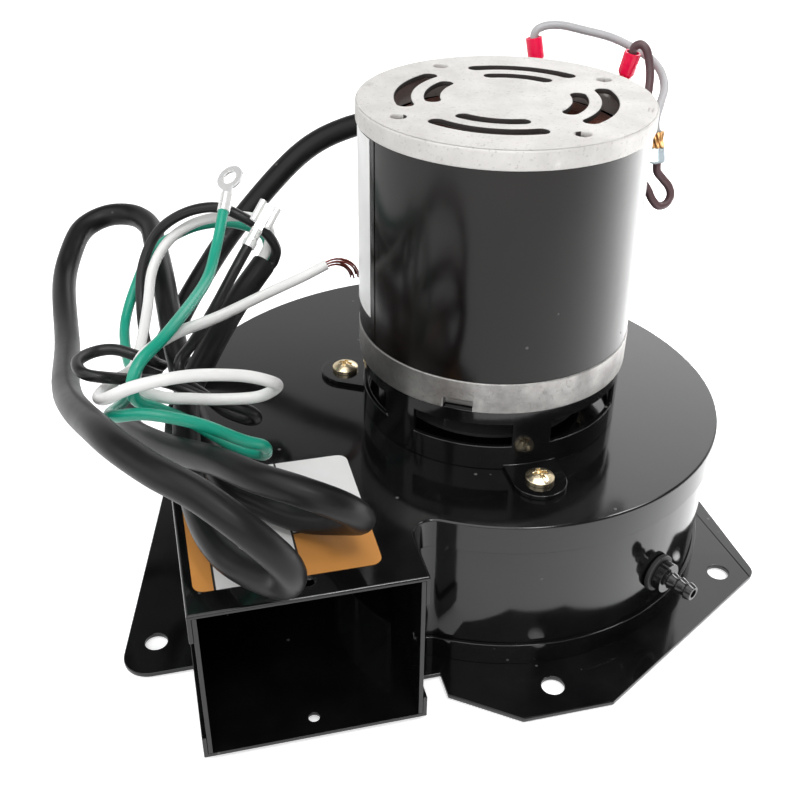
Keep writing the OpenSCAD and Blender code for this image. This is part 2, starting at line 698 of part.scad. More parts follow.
module impeller_set_screw() {
    color([0.2, 0.2, 0.22]) translate([shaft_r, 0, shaft_z + hub_h / 2]) rotate([0, 90, 0]) difference() {
        cylinder(d = set_screw_d, h = hub_d / 2 - shaft_r - 0.5);
        translate([0, 0, hub_d / 2 - shaft_r - 2.5]) cylinder(d = 2, h = 4, $fn = 6);
    }
}

module impeller_back_plate() {
    color([0.62, 0.63, 0.65]) translate([0, 0, back_plate_z]) ring(impeller_r, hub_d / 2, blade_t);
}

// Forward-curved blades, each an arc of sheet between the two plates
module impeller_blades() {
    color([0.62, 0.63, 0.65]) translate([0, 0, impeller_z + blade_t]) around(blade_n)
        translate([blade_c, 0, 0]) rotate([0, 0, blade_a0]) rotate_extrude(angle = blade_a1 - blade_a0)
            translate([blade_r - blade_t / 2, 0]) square([blade_t, blade_h]);
}

module impeller_inlet_ring() {
    color([0.62, 0.63, 0.65]) translate([0, 0, impeller_z]) ring(impeller_r, blade_inner_d / 2, blade_t);
}

// Puts +Z along the tap, with the origin on the outer face of the scroll wall
module at_tap() {
    translate([front_c.x, front_c.y, tap_z]) rotate([0, 0, tap_a]) translate([arc_front_r, 0, 0])
        rotate([0, 90, 0]) children();
}

module tap_grommet() {
    lip = 1.6;
    color([0.02, 0.02, 0.02]) at_tap() difference() {
        union() {
            translate([0, 0, 0.2]) cylinder(r = tap_hole_r + 2.4, h = lip);
            translate([0, 0, -sheet_t - 0.2]) cylinder(r = tap_hole_r - nest_gap, h = sheet_t + 0.6);
            translate([0, 0, -sheet_t - lip - 0.6]) cylinder(r = tap_hole_r + 1.4, h = lip);
            translate([0, 0, -sheet_t - 0.8]) cylinder(r = tap_hole_r - nest_gap, h = 1);
        }
        translate([0, 0, -9]) cylinder(r = tap_tube_r + nest_gap, h = 18);
    }
}

module hose_barb() {
    barb_n = 3;
    barb_r = 2.8;
    collar_h = 3;
    collar_z = 1.9;
    step = (tap_l - collar_z - collar_h) / barb_n;
    color([0.02, 0.02, 0.02]) at_tap() difference() {
        union() {
            translate([0, 0, -6]) cylinder(r = tap_tube_r, h = tap_l + 6);
            translate([0, 0, collar_z]) cylinder(r = tap_collar_r, h = collar_h);
            for (i = [0 : barb_n - 1]) translate([0, 0, collar_z + collar_h + i * step + step * 0.3])
                cylinder(r1 = barb_r, r2 = tap_tube_r, h = step * 0.7);
        }
        translate([0, 0, -6 - past]) cylinder(d = tap_bore_d, h = tap_l + 6 + 2 * past);
    }
}

// Puts +Y outwards from the shell, +X along the capacitor's width and z at its top
module at_capacitor() {
    rotate([0, 0, cap_a - 90]) translate([0, cap_r, cap_top]) children();
}

module capacitor_body() {
    color([0.05, 0.05, 0.055]) at_capacitor() translate([0, 0, -cap_h]) linear_extrude(cap_h)
        round_rect(cap_w, cap_d, 2);
}

// Leans a terminal outwards, on the left (-1) or the right (1)
module at_terminal(side) {
    at_capacitor() translate([side * cap_pitch / 2, 0, 0]) rotate([0, side * cap_lean, 0]) children();
}

module capacitor_terminals() {
    foot = 1.4;
    color([0.8, 0.78, 0.7]) for (side = [-1, 1]) {
        at_terminal(side) translate([-tab.x / 2, -tab.y / 2, foot / 2]) cube([tab.x, tab.y, tab.z]);
        at_capacitor() translate([side * cap_pitch / 2, 0, 0]) cylinder(d = tab.y + 2, h = foot);
    }
}

// Band round the capacitor with two feet on the motor shell
module capacitor_strap() {
    band_h = 12;
    band_t = 1;
    foot_x = cap_w / 2 - 12;
    color([0.6, 0.6, 0.6]) difference() {
        at_capacitor() translate([0, 0, -cap_h / 2 - band_h / 2]) linear_extrude(band_h) difference() {
            union() {
                round_rect(cap_w + 2 * (band_t + nest_gap), cap_d + 2 * (band_t + nest_gap), 3);
                for (side = [-1, 1]) translate([side * foot_x - band_t, -cap_d / 2 - cap_gap - 4])
                    square([2 * band_t, cap_gap + 4]);
            }
            round_rect(cap_w + 2 * nest_gap, cap_d + 2 * nest_gap, 2);
        }
        translate([0, 0, shell_z]) cylinder(r = shell_r + nest_gap, h = shell_h);
    }
}

// Flat grip on the blade, round barrel with a cup for the lead
module terminal_sleeves() {
    grip = [2.8, 6.6, 7.5];
    barrel_d = 5.2;
    neck_h = 1.5;
    slack = 0.4;
    color([0.85, 0.08, 0.12]) for (side = [-1, 1]) at_terminal(side) translate([0, 0, sleeve_z]) difference() {
        union() {
            linear_extrude(grip.z) round_rect(grip.x, grip.y, 0.8);
            translate([0, 0, grip.z - 0.5]) cylinder(d1 = grip.x, d2 = barrel_d, h = neck_h + 0.5);
            translate([0, 0, grip.z + neck_h]) cylinder(d = barrel_d, h = sleeve_h - grip.z - neck_h);
        }
        translate([-tab.x / 2 - slack / 2, -tab.y / 2 - slack / 2, -past])
            cube([tab.x + slack, tab.y + slack, tab.z - sleeve_z + past + 1]);
        translate([0, 0, sleeve_h - sleeve_cup]) cylinder(d = lead_d + 1.2, h = sleeve_cup + past);
    }
}

module lead_grey() {
    color([0.45, 0.45, 0.47]) tube(lead_grey_path, lead_d);
}

module lead_brown() {
    color([0.28, 0.14, 0.12]) tube(lead_brown_path, lead_d);
}

module lead_loop() {
    color([0.28, 0.14, 0.16]) tube(lead_loop_path, lead_d);
}

// Crimped joint between the grey lead and the loop that enters the shell
module splice_connector() {
    top = lead_grey_path[len(lead_grey_path) - 1];
    axis = top - lead_loop_path[0];
    color([0.8, 0.85, 0.88]) stand_along(lead_loop_path[0], axis) {
        cylinder(d = lead_d + 2.4, h = norm(axis) * 0.45);
        cylinder(d = lead_d + 1, h = norm(axis));
    }
}

module lead_grommets() {
    color([0.03, 0.03, 0.03]) for (hole = lead_holes) at_shell(hole[0], hole[1]) difference() {
        union() {
            translate([0, 0, -shell_t + 0.1]) cylinder(r = lead_hole_r - nest_gap, h = shell_t + 0.5);
            translate([0, 0, 0.1]) cylinder(r = lead_hole_r + 1.3, h = 1.8);
        }
        translate([0, 0, -cord_d]) cylinder(d = lead_d + nest_gap, h = 2 * cord_d);
    }
}

// Tapered strain relief where the power cord leaves the shell
module cord_relief() {
    neck_r = cord_d / 2 + relief_wall - nest_gap;
    color([0.03, 0.03, 0.03]) at_shell(relief_a, relief_z) difference() {
        union() {
            translate([0, 0, -shell_t + 0.1]) cylinder(r = neck_r, h = shell_t + 1);
            translate([0, 0, 0.1]) cylinder(r = neck_r + 2.4, h = 3);
            translate([0, 0, 3]) cylinder(r1 = neck_r + 0.8, r2 = cord_d / 2 + 0.9, h = relief_l - 3);
        }
        translate([0, 0, -cord_d]) cylinder(d = cord_d + nest_gap, h = relief_l + 2 * cord_d);
    }
}

module power_cord() {
    color([0.05, 0.05, 0.055]) tube(power_cord_path, cord_d, 10);
}

module core_white() {
    color([0.93, 0.93, 0.92]) tube(core_white_path, core_d);
}

module core_black() {
    color([0.06, 0.06, 0.065]) tube(core_black_path, core_d);
}

module core_green() {
    color([0.02, 0.55, 0.38]) tube(core_green_path, core_d);
}

// Runs what follows on from the end of a route
module at_end(path) {
    n = len(path);
    stand_along(path[n - 1], path[n - 1] - path[n - 2]) children();
}

module ring_terminal() {
    barrel_l = 6.5;
    ring_r = 4.4;
    ring_turn = 70;
    plate_t2 = 0.9;
    color([0.82, 0.82, 0.8]) at_end(core_green_path) rotate([0, 0, ring_turn]) {
        cylinder(d = core_d + 0.6, h = barrel_l);
        translate([0, plate_t2 / 2, barrel_l + ring_r + 2]) rotate([90, 0, 0]) linear_extrude(plate_t2)
            difference() {
                union() {
                    circle(r = ring_r);
                    translate([-core_d / 2, -ring_r - 3]) square([core_d, ring_r]);
                }
                circle(d = 4.6);
            }
    }
}

module blade_terminal() {
    barrel_l = 6.5;
    grip = [7.4, 2.6, 8.5];
    curl = 0.7;
    color([0.82, 0.82, 0.8]) at_end(core_black_path) {
        cylinder(d = core_d + 0.6, h = barrel_l);
        translate([-core_d / 2, -curl, barrel_l - past]) cube([core_d, curl * 2, past + 2]);
        translate([-grip.x / 2, -grip.y / 2, barrel_l + 1]) difference() {
            cube(grip);
            translate([curl, curl, -past]) cube([grip.x - 2 * curl, grip.y - 2 * curl, grip.z + 2 * past]);
            translate([grip.x / 2 - 0.6, curl, -past]) cube([1.2, grip.y, grip.z + 2 * past]);
        }
        translate([-grip.x / 2 + curl / 2, -curl, barrel_l + 1]) cube([grip.x - curl, curl * 2, curl]);
    }
}

// Bared copper strands at the end of the white core, bent downwards
module core_strands() {
    strand_d = 0.6;
    strands = 6;
    bend_r = 7;
    turn = 104;
    steps = 8;
    start = 0.12;
    bundle_r = 0.85;
    fray = 0.7;
    last = len(core_white_path) - 1;
    dir = heading(core_white_path, last);
    up = across([0, 0, 1], dir);
    side = cross(dir, up);
    root = core_white_path[last] + start * dir - bend_r * up;
    color([0.55, 0.25, 0.14]) for (i = [0 : strands - 1]) tube([for (k = [0 : steps])
        let (a = turn * k / steps, r = bundle_r * (1 + fray * k / steps), out = bend_r + r * cos(360 * i / strands))
        root + out * (cos(a) * up + sin(a) * dir) + r * sin(360 * i / strands) * side], strand_d, 6);
}

mounting_plate();
bottom_pan();
scroll_wall();
top_cover();
motor_bracket();
bracket_screws();
motor_screws();
lower_end_bell();
motor_shell();
upper_end_bell();
stator_core();
stator_windings();
lower_bearing();
upper_bearing();
shaft();
rotor_core();
rotor_end_rings();
thrust_sleeves();
cooling_fan();
impeller_hub();
impeller_set_screw();
impeller_back_plate();
impeller_blades();
impeller_inlet_ring();
tap_grommet();
hose_barb();
capacitor_body();
capacitor_terminals();
capacitor_strap();
terminal_sleeves();
lead_grey();
lead_brown();
lead_loop();
splice_connector();
lead_grommets();
cord_relief();
power_cord();
core_white();
core_black();
core_green();
ring_terminal();
blade_terminal();
core_strands();
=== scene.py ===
"""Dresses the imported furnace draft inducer: its finishes, wiring and stickers, and the studio round it."""

from __future__ import annotations

import json
import logging
import math

from collections.abc import Callable, Sequence
from dataclasses import dataclass, field
from enum import Enum

import bmesh
import bpy
from mathutils import Matrix, Vector

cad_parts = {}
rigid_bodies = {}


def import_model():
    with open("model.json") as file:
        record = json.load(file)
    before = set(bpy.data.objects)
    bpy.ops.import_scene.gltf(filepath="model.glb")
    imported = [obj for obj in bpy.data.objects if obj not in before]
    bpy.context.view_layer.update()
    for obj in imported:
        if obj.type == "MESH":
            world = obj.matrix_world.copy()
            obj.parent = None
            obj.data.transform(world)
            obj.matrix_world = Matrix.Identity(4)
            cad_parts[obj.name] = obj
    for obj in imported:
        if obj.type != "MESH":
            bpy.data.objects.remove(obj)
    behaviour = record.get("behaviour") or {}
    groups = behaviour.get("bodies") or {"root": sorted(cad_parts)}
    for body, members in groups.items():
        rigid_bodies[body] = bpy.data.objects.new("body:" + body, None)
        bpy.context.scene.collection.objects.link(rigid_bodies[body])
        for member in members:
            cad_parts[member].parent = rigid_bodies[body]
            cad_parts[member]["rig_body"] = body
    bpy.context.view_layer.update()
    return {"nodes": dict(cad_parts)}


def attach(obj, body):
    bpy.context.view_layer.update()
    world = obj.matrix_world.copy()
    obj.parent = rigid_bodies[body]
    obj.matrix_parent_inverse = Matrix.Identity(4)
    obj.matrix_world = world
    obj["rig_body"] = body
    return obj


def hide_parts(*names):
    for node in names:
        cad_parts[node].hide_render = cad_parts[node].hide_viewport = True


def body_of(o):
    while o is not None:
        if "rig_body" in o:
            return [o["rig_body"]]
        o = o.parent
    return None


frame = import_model()
LOG = logging.getLogger("draft_inducer")
MM = 0.001
# Points nearer to each other than this, in metres, are one point.
WELD = 0.000002
# Edges that turn by more than this stay sharp in a smooth mesh.
CREASE = math.radians(40)
Colour = tuple[float, float, float]
Point = tuple[float, float, float]
Span = tuple[float, float]
WHITE: Colour = (1.0, 1.0, 1.0)


def put_in_scene(name: str, data: bpy.types.ID) -> bpy.types.Object:
    """Makes an object and links it to the scene.

    Args:
        name: The object's name.
        data: Its mesh, curve, lamp or camera.

    Returns:
        The new object.
    """
    made = bpy.data.objects.new(name, data)
    bpy.context.scene.collection.objects.link(made)
    return made


def shade(built: bmesh.types.BMesh) -> None:
    """Smooths a mesh, but not over its creases.

    Args:
        built: The mesh.
    """
    for face in built.faces:
        face.smooth = True
    for line in built.edges:
        line.smooth = line.calc_face_angle(0.0) < CREASE


def grow(built: bmesh.types.BMesh, faces: Sequence[bmesh.types.BMFace]) -> list[bmesh.types.BMVert]:
    """Extrudes faces, and returns the new faces' points, which are still where the old ones are."""
    grown = bmesh.ops.extrude_face_region(built, geom=list(faces))["geom"]
    return [part for part in grown if isinstance(part, bmesh.types.BMVert)]


class Relief(Enum):
    """What the skin of a finish feels like under a fingernail."""

    PAINTED = "painted"
    CAST = "cast"
    DRAWN = "drawn"
    MOULDED = "moulded"


class FarEnd(Enum):
    """What a cord or lead ends in."""

    CONNECTOR = "connector"
    BARE = "bare"
    OBJECT = "object"


@dataclass(frozen=True)
class Panel:
    """A flat block of colour printed on a sticker, as limits across the lid in millimetres."""

    x: Span
    y: Span
    colour: Colour


@dataclass(frozen=True)
class Finish:
    """One surface finish: its colours, gloss and the strength of the effects in it.

    Lengths of the effects are in metres and scales are per metre.
    """

    slot: str
    colour: Colour
    shade: Colour
    gloss: Span
    metallic: float = 0.0
    relief: Relief = Relief.MOULDED
    grain: float = 900.0
    depth: float = 0.00001
    patch: float = 55.0
    stretch: Point = (40.0, 40.0, 2500.0)
    rub: Colour | None = None
    shaded_well: float = 0.0
    dust: float = 0.0
    coat: float = 0.0
    clear: float = 0.0
    specular: float = 0.5
    panels: tuple[Panel, ...] = ()
    label: str = ""

    @property
    def name(self) -> str:
        """The finish's own name, which is its slot unless it says otherwise."""
        return self.label or self.slot


@dataclass(frozen=True)
class Noise:
    """The octaves of a noise and how strong the finer ones are."""

    detail: float
    roughness: float


class Board:
    """A node tree with short calls to add, feed and join its nodes."""

    # The sockets of a colour mix: its mask, the colour under it and the colour over it, and the result.
    MIX_IN = (0, 6, 7)
    MIX_OUT = 2

    def __init__(self, tree: bpy.types.NodeTree) -> None:
        """Takes the tree to work on and empties it."""
        self.tree = tree
        tree.nodes.clear()

    def join(self, source: bpy.types.NodeSocket, target: bpy.types.NodeSocket) -> None:
        """Links one socket to another."""
        self.tree.links.new(source, target)

    def feed(self, value: object, socket: bpy.types.NodeSocket) -> None:
        """Gives an input socket what it works with.

        Args:
            value: An output socket to link, a number, a vector or a colour.
            socket: The input socket.
        """
        if isinstance(value, bpy.types.NodeSocket):
            self.join(value, socket)
        elif socket.type == "RGBA":
            socket.default_value = (*value, 1.0)
        else:
            socket.default_value = value

    def add(self, kind: str, values: dict[str, object] | None = None, **traits: object) -> bpy.types.Node:
        """Adds one node.

        Args:
            kind: The node's type name.
            values: What its input sockets get, by socket name.
            traits: Properties of the node itself.

        Returns:
            The new node.
        """
        node = self.tree.nodes.new(kind)
        for trait, value in traits.items():
            setattr(node, trait, value)
        for socket, value in (values or {}).items():
            self.feed(value, node.inputs[socket])
        return node

    def math(self, operation: str, a: object, b: object = 0.0) -> bpy.types.NodeSocket:
        """Adds a Math node.

        Args:
            operation: The node's operation.
            a: A socket or a number for its first input.
            b: A socket or a number for its second input.

        Returns:
            The node's output socket.
        """
        node = self.add("ShaderNodeMath", operation=operation)
        for value, socket in zip((a, b), node.inputs):
            self.feed(value, socket)
        return node.outputs[0]

    def span(self, value: bpy.types.NodeSocket, old: Span,
             new: tuple[object, object] = (0.0, 1.0)) -> bpy.types.NodeSocket:
        """Maps a value from one range to another, with the ends held.

        Args:
            value: The socket to map.
            old: The range that it has.
            new: The range wanted, as numbers or sockets.

        Returns:
            The mapped value's socket.
        """
        ends = dict(zip(("From Min", "From Max", "To Min", "To Max"), (*old, *new)))
        return self.add("ShaderNodeMapRange", {"Value": value, **ends}).outputs["Result"]

    def tint(self, mask: bpy.types.NodeSocket, under: object, over: object) -> bpy.types.NodeSocket:
        """Lays one colour over another where a mask is white.

        Args:
            mask: The mask's socket.
            under: A socket or a colour.
            over: A socket or a colour.

        Returns:
            The mixed colour's socket.
        """
        node = self.add("ShaderNodeMix", data_type="RGBA")
        for value, place in zip((mask, under, over), self.MIX_IN):
            self.feed(value, node.inputs[place])
        return node.outputs[self.MIX_OUT]

    def object_point(self) -> bpy.types.NodeSocket:
        """The socket that gives the place on the piece, in metres."""
        return self.add("ShaderNodeTexCoord").outputs["Object"]

    def noise(self, scale: object, kind: Noise, place: bpy.types.NodeSocket | None = None) -> bpy.types.NodeSocket:
        """Adds a noise texture.

        Args:
            scale: Its scale as a socket or a number per metre.
            kind: Its octaves.
            place: The coordinates, or none for the place on the piece.

        Returns:
            The noise value's socket.
        """
        node = self.add("ShaderNodeTexNoise", {"Scale": scale, "Detail": kind.detail, "Roughness": kind.roughness,
                                               "Vector": place or self.object_point()})
        return node.outputs["Fac"]

    def bump(self, height: bpy.types.NodeSocket, depth: bpy.types.NodeSocket) -> bpy.types.NodeSocket:
        """Turns a height into a normal, with its depth in metres."""
        node = self.add("ShaderNodeBump", {"Strength": 1.0, "Height": height, "Distance": depth})
        return node.outputs["Normal"]


class EffectGroup:
    """A shader effect that several finishes share, drawn as a node group with named sockets.

    A span is the range of a noise, a distance or a bend over which a mask goes from black to white.
    """

    name: str
    takes: dict[str, str]
    gives: dict[str, str]

    def __init__(self) -> None:
        """Opens the group with its sockets, and draws what is between them."""
        tree = bpy.data.node_groups.new(self.name, "ShaderNodeTree")
        for way, sockets in (("INPUT", self.takes), ("OUTPUT", self.gives)):
            for socket, kind in sockets.items():
                tree.interface.new_socket(name=socket, in_out=way, socket_type="NodeSocket" + kind)
        self.board = Board(tree)
        self.given = self.board.add("NodeGroupInput").outputs
        self.out = self.board.add("NodeGroupOutput").inputs
        self.draw()

    def draw(self) -> None:
        """Draws the nodes between the group's inputs and outputs."""
        raise NotImplementedError


class Patches(EffectGroup):
    """Soft uneven patches of colour and gloss, as handling and cooling leave them."""

    name = "surface_patches"
    takes = {"Scale": "Float", "Low": "Float", "High": "Float"}
    gives = {"Mask": "Float", "Value": "Float"}
    blotches = Noise(5.0, 0.6)
    blotch_span: Span = (0.34, 0.66)

    def draw(self) -> None:
        """Draws the mask, and a value between the two ends that follows it."""
        mask = self.board.span(self.board.noise(self.given["Scale"], self.blotches), self.blotch_span)
        self.board.join(mask, self.out["Mask"])
        ends = (self.given["Low"], self.given["High"])
        self.board.join(self.board.span(mask, (0.0, 1.0), ends), self.out["Value"])


class Peel(EffectGroup):
    """The low waviness of a dried paint film or a moulded face."""

    name = "paint_peel"
    takes = {"Scale": "Float", "Depth": "Float"}
    gives = {"Normal": "Vector"}
    waves = Noise(2.0, 0.5)

    def draw(self) -> None:
        """Draws the waves as a normal."""
        waves = self.board.noise(self.given["Scale"], self.waves)
        self.board.join(self.board.bump(waves, self.given["Depth"]), self.out["Normal"])


class CastSkin(EffectGroup):
    """The grainy, pitted skin of a die casting, with a mask of its darker pores."""

    name = "cast_skin"
    takes = {"Scale": "Float", "Depth": "Float"}
    gives = {"Normal": "Vector", "Pores": "Float"}
    grain = Noise(8.0, 0.7)
    pits = Noise(3.0, 0.5)
    pit_scale = 0.35
    pit_depth = 0.8
    pore_span: Span = (0.60, 0.70)

    def draw(self) -> None:
        """Draws the grain with the pits sunk in it."""
        board, scale = self.board, self.given["Scale"]
        grain = board.noise(scale, self.grain)
        pores = board.span(board.noise(board.math("MULTIPLY", scale, self.pit_scale), self.pits), self.pore_span)
        height = board.math("SUBTRACT", grain, board.math("MULTIPLY", pores, self.pit_depth))
        board.join(board.bump(height, self.given["Depth"]), self.out["Normal"])
        board.join(board.math("MULTIPLY", pores, grain), self.out["Pores"])


class DrawnLines(EffectGroup):
    """Fine lines that rolling, drawing or turning leaves along one direction."""

    name = "drawn_lines"
    takes = {"Stretch": "Vector", "Depth": "Float"}
    gives = {"Normal": "Vector", "Lines": "Float"}
    grooves = Noise(4.0, 0.6)
    groove_span: Span = (0.35, 0.65)

    def draw(self) -> None:
        """Draws a noise that is stretched along the lines."""
        board = self.board
        turned = board.add("ShaderNodeVectorMath", operation="MULTIPLY")
        board.join(board.object_point(), turned.inputs[0])
        board.join(self.given["Stretch"], turned.inputs[1])
        lines = board.noise(1.0, self.grooves, turned.outputs["Vector"])
        board.join(board.bump(lines, self.given["Depth"]), self.out["Normal"])
        board.join(board.span(lines, self.groove_span), self.out["Lines"])


class DustSpecks(EffectGroup):
    """Single specks of dust and lint, far apart."""

    name = "dust_specks"
    takes = {"Scale": "Float", "Amount": "Float"}
    gives = {"Specks": "Float"}
    speck_span: Span = (0.16, 0.06)

    def draw(self) -> None:
        """Draws a speck in the middle of some of the cells, chosen by their colour."""
        board = self.board
        cells = board.add("ShaderNodeTexVoronoi", {"Vector": board.object_point(), "Scale": self.given["Scale"]})
        parts = board.add("ShaderNodeSeparateColor", {"Color": cells.outputs["Color"]})
        chosen = board.math("LESS_THAN", parts.outputs["Red"], self.given["Amount"])
        near = board.span(cells.outputs["Distance"], self.speck_span)
        board.join(board.math("MULTIPLY", near, chosen), self.out["Specks"])


class EdgeRub(EffectGroup):
    """Broken wear along the edges that stick out."""

    name = "edge_rub"
    takes = {"Scale": "Float", "Start": "Float"}
    gives = {"Rub": "Float"}
    breaks = Noise(4.0, 0.65)
    break_span: Span = (0.48, 0.62)
    bend_span: Span = (0.0, 0.08)

    def draw(self) -> None:
        """Draws the edges that bend past the start, broken by a noise."""
        board = self.board
        bend = board.add("ShaderNodeNewGeometry").outputs["Pointiness"]
        edge = board.math("SUBTRACT", bend, self.given["Start"])
        worn = board.span(board.noise(self.given["Scale"], self.breaks), self.break_span)
        board.join(board.math("MULTIPLY", board.span(edge, self.bend_span), worn), self.out["Rub"])


class WellWalls(EffectGroup):
    """The steep walls of openings within a radius of the motor's axis, which get a painted shade as if they lay in
    shadow.
    """

    name = "well_walls"
    takes = {"Radius": "Float"}
    gives = {"Walls": "Float"}
    steepest_normal = 0.6

    def draw(self) -> None:
        """Draws what is both steep and near the axis."""
        board = self.board
        flat = board.add("ShaderNodeVectorMath", operation="MULTIPLY")
        board.join(board.object_point(), flat.inputs[0])
        board.feed((1.0, 1.0, 0.0), flat.inputs[1])
        reach = board.add("ShaderNodeVectorMath", operation="LENGTH")
        board.join(flat.outputs["Vector"], reach.inputs[0])
        normal = board.add("ShaderNodeNewGeometry").outputs["True Normal"]
        rise = board.math("ABSOLUTE", board.add("ShaderNodeSeparateXYZ", {"Vector": normal}).outputs["Z"])
        steep = board.math("LESS_THAN", rise, self.steepest_normal)
        near = board.math("LESS_THAN", reach.outputs["Value"], self.given["Radius"])
        board.join(board.math("MULTIPLY", steep, near), self.out["Walls"])


class FinishShop:
    """Turns finishes into materials, one each, and keeps the shared effects."""

    COAT_ROUGHNESS = 0.06
    PORE_SHADE = 0.55
    LINE_STRENGTH = 0.35
    RUB_SCALE, RUB_START = 420.0, 0.52
    # The dark colour painted as shade on the steep walls of the bell's openings.
    WELL_SHADE: Colour = (0.035, 0.03, 0.028)
    DUST: Colour = (0.10, 0.097, 0.093)
    DUST_SCALE = 240.0
    DUST_ROUGHNESS = 0.8

    def __init__(self) -> None:
        """Starts with no effect drawn and no material made."""
        self.effects: dict[type[EffectGroup], EffectGroup] = {}
        self.made: dict[Finish, bpy.types.Material] = {}

    def material(self, finish: Finish) -> bpy.types.Material:
        """The material of a finish, made on its first use."""
        if finish not in self.made:
            self.made[finish] = self._make(finish)
        return self.made[finish]

    def _effect(self, board: Board, kind: type[EffectGroup], **values: object) -> bpy.types.NodeOutputs:
        """Places a shared effect, drawn on its first use, in a material.

        Args:
            board: The material's nodes.
            kind: The effect.
            values: What its input sockets get, by socket name.

        Returns:
            The effect's output sockets.
        """
        if kind not in self.effects:
            self.effects[kind] = kind()
        return board.add("ShaderNodeGroup", values, node_tree=self.effects[kind].board.tree).outputs

    def _make(self, finish: Finish) -> bpy.types.Material:
        """Makes one material.

        Args:
            finish: The finish to show.

        Returns:
            The material.
        """
        material = bpy.data.materials.new(finish.name)
        material.use_nodes = True
        board = Board(material.node_tree)
        patches = self._effect(board, Patches, Scale=finish.patch, Low=finish.gloss[0], High=finish.gloss[1])
        colour = board.tint(patches["Mask"], finish.colour, finish.shade)
        for panel in finish.panels:
            colour = board.tint(self._inside(board, panel), colour, panel.colour)
        colour, normal = self._skin(board, finish, colour)
        if finish.rub:
            worn = self._effect(board, EdgeRub, Scale=self.RUB_SCALE, Start=self.RUB_START)
            colour = board.tint(worn["Rub"], colour, finish.rub)
        # Painted shade: the steep walls of openings near the axis get a dark colour, as if unlit.
        if finish.shaded_well:
            walls = self._effect(board, WellWalls, Radius=finish.shaded_well)
            colour = board.tint(walls["Walls"], colour, self.WELL_SHADE)
        rough = patches["Value"]
        if finish.dust:
            specks = self._effect(board, DustSpecks, Scale=self.DUST_SCALE, Amount=finish.dust)["Specks"]
            colour = board.tint(specks, colour, self.DUST)
            rough = board.math("MAXIMUM", rough, board.math("MULTIPLY", specks, self.DUST_ROUGHNESS))
        shader = board.add("ShaderNodeBsdfPrincipled", {
            "Base Color": colour, "Roughness": rough, "Normal": normal, "Metallic": finish.metallic,
            "Coat Weight": finish.coat, "Coat Roughness": self.COAT_ROUGHNESS,
            "Specular IOR Level": finish.specular, "Transmission Weight": finish.clear})
        board.join(shader.outputs[0], board.add("ShaderNodeOutputMaterial").inputs["Surface"])
        return material

    def _skin(self, board: Board, finish: Finish,
              colour: bpy.types.NodeSocket) -> tuple[bpy.types.NodeSocket, bpy.types.NodeSocket]:
        """Adds what a finish's relief leaves on its surface.

        Args:
            board: The material's nodes.
            finish: The finish.
            colour: The colour so far.

        Returns:
            The colour with the relief's marks in it, and the normal.
        """
        if finish.relief is Relief.CAST:
            skin = self._effect(board, CastSkin, Scale=finish.grain, Depth=finish.depth)
            dark = tuple(self.PORE_SHADE * part for part in finish.colour)
            colour = board.tint(skin["Pores"], colour, dark)
        elif finish.relief is Relief.DRAWN:
            skin = self._effect(board, DrawnLines, Stretch=finish.stretch, Depth=finish.depth)
            lines = board.math("MULTIPLY", skin["Lines"], self.LINE_STRENGTH)
            colour = board.tint(lines, colour, finish.shade)
        else:
            skin = self._effect(board, Peel, Scale=finish.grain, Depth=finish.depth)
        return colour, skin["Normal"]

    @staticmethod
    def _inside(board: Board, panel: Panel) -> bpy.types.NodeSocket:
        """Draws a mask that is white inside a sticker's printed block.

        Args:
            board: The material's nodes.
            panel: The printed block.

        Returns:
            The mask's socket.
        """
        place = board.add("ShaderNodeSeparateXYZ", {"Vector": board.object_point()}).outputs
        mask, *others = [board.math(side, place[axis], limit * MM)
                         for axis, limits in (("X", panel.x), ("Y", panel.y))
                         for side, limit in zip(("GREATER_THAN", "LESS_THAN"), limits)]
        for test in others:
            mask = board.math("MULTIPLY", mask, test)
        return mask


BLACK_PAINT = Finish("black_paint", (0.003, 0.003, 0.0033), (0.006, 0.006, 0.0064), (0.07, 0.13),
                     relief=Relief.PAINTED, grain=380.0, depth=0.000004, dust=0.05)
SHELL_PAINT = Finish("shell_paint", (0.0032, 0.0026, 0.0024), (0.0075, 0.006, 0.0054), (0.15, 0.23),
                     relief=Relief.PAINTED, grain=300.0, depth=0.000008, patch=40.0, dust=0.03, specular=0.32)
# The upper bell's openings get painted shade on their steep walls within 32.5 mm of the axis.
CAST_ALLOY = Finish("cast_alloy", (0.65, 0.635, 0.615), (0.56, 0.545, 0.525), (0.58, 0.7), metallic=0.2,
                    patch=90.0, relief=Relief.CAST, grain=3200.0, depth=0.00003, rub=(0.72, 0.71, 0.69),
                    shaded_well=0.0325)
# A darker copy of the cast alloy for the lower bell: painted shade.
SHADED_LOWER_ALLOY = Finish("cast_alloy", (0.40, 0.39, 0.378), (0.26, 0.253, 0.246), (0.36, 0.5), metallic=1.0,
                     patch=110.0, relief=Relief.CAST, grain=2800.0, depth=0.00004, rub=(0.62, 0.62, 0.61),
                     label="lower_bell_shaded_alloy")
SCREW_BRASS = Finish("screw_brass", (0.93, 0.83, 0.61), (0.78, 0.63, 0.40), (0.2, 0.36), metallic=1.0,
                     relief=Relief.DRAWN, stretch=(900.0, 900.0, 60.0), depth=0.000006)
SCREW_STEEL = Finish("screw_steel", (0.62, 0.62, 0.61), (0.45, 0.45, 0.44), (0.22, 0.4), metallic=1.0,
                     relief=Relief.DRAWN, stretch=(900.0, 900.0, 60.0), depth=0.000006)
LAMINATION = Finish("lamination", (0.26, 0.255, 0.25), (0.16, 0.155, 0.15), (0.35, 0.55), metallic=0.9,
                    relief=Relief.DRAWN, stretch=(30.0, 30.0, 2200.0), depth=0.00005)
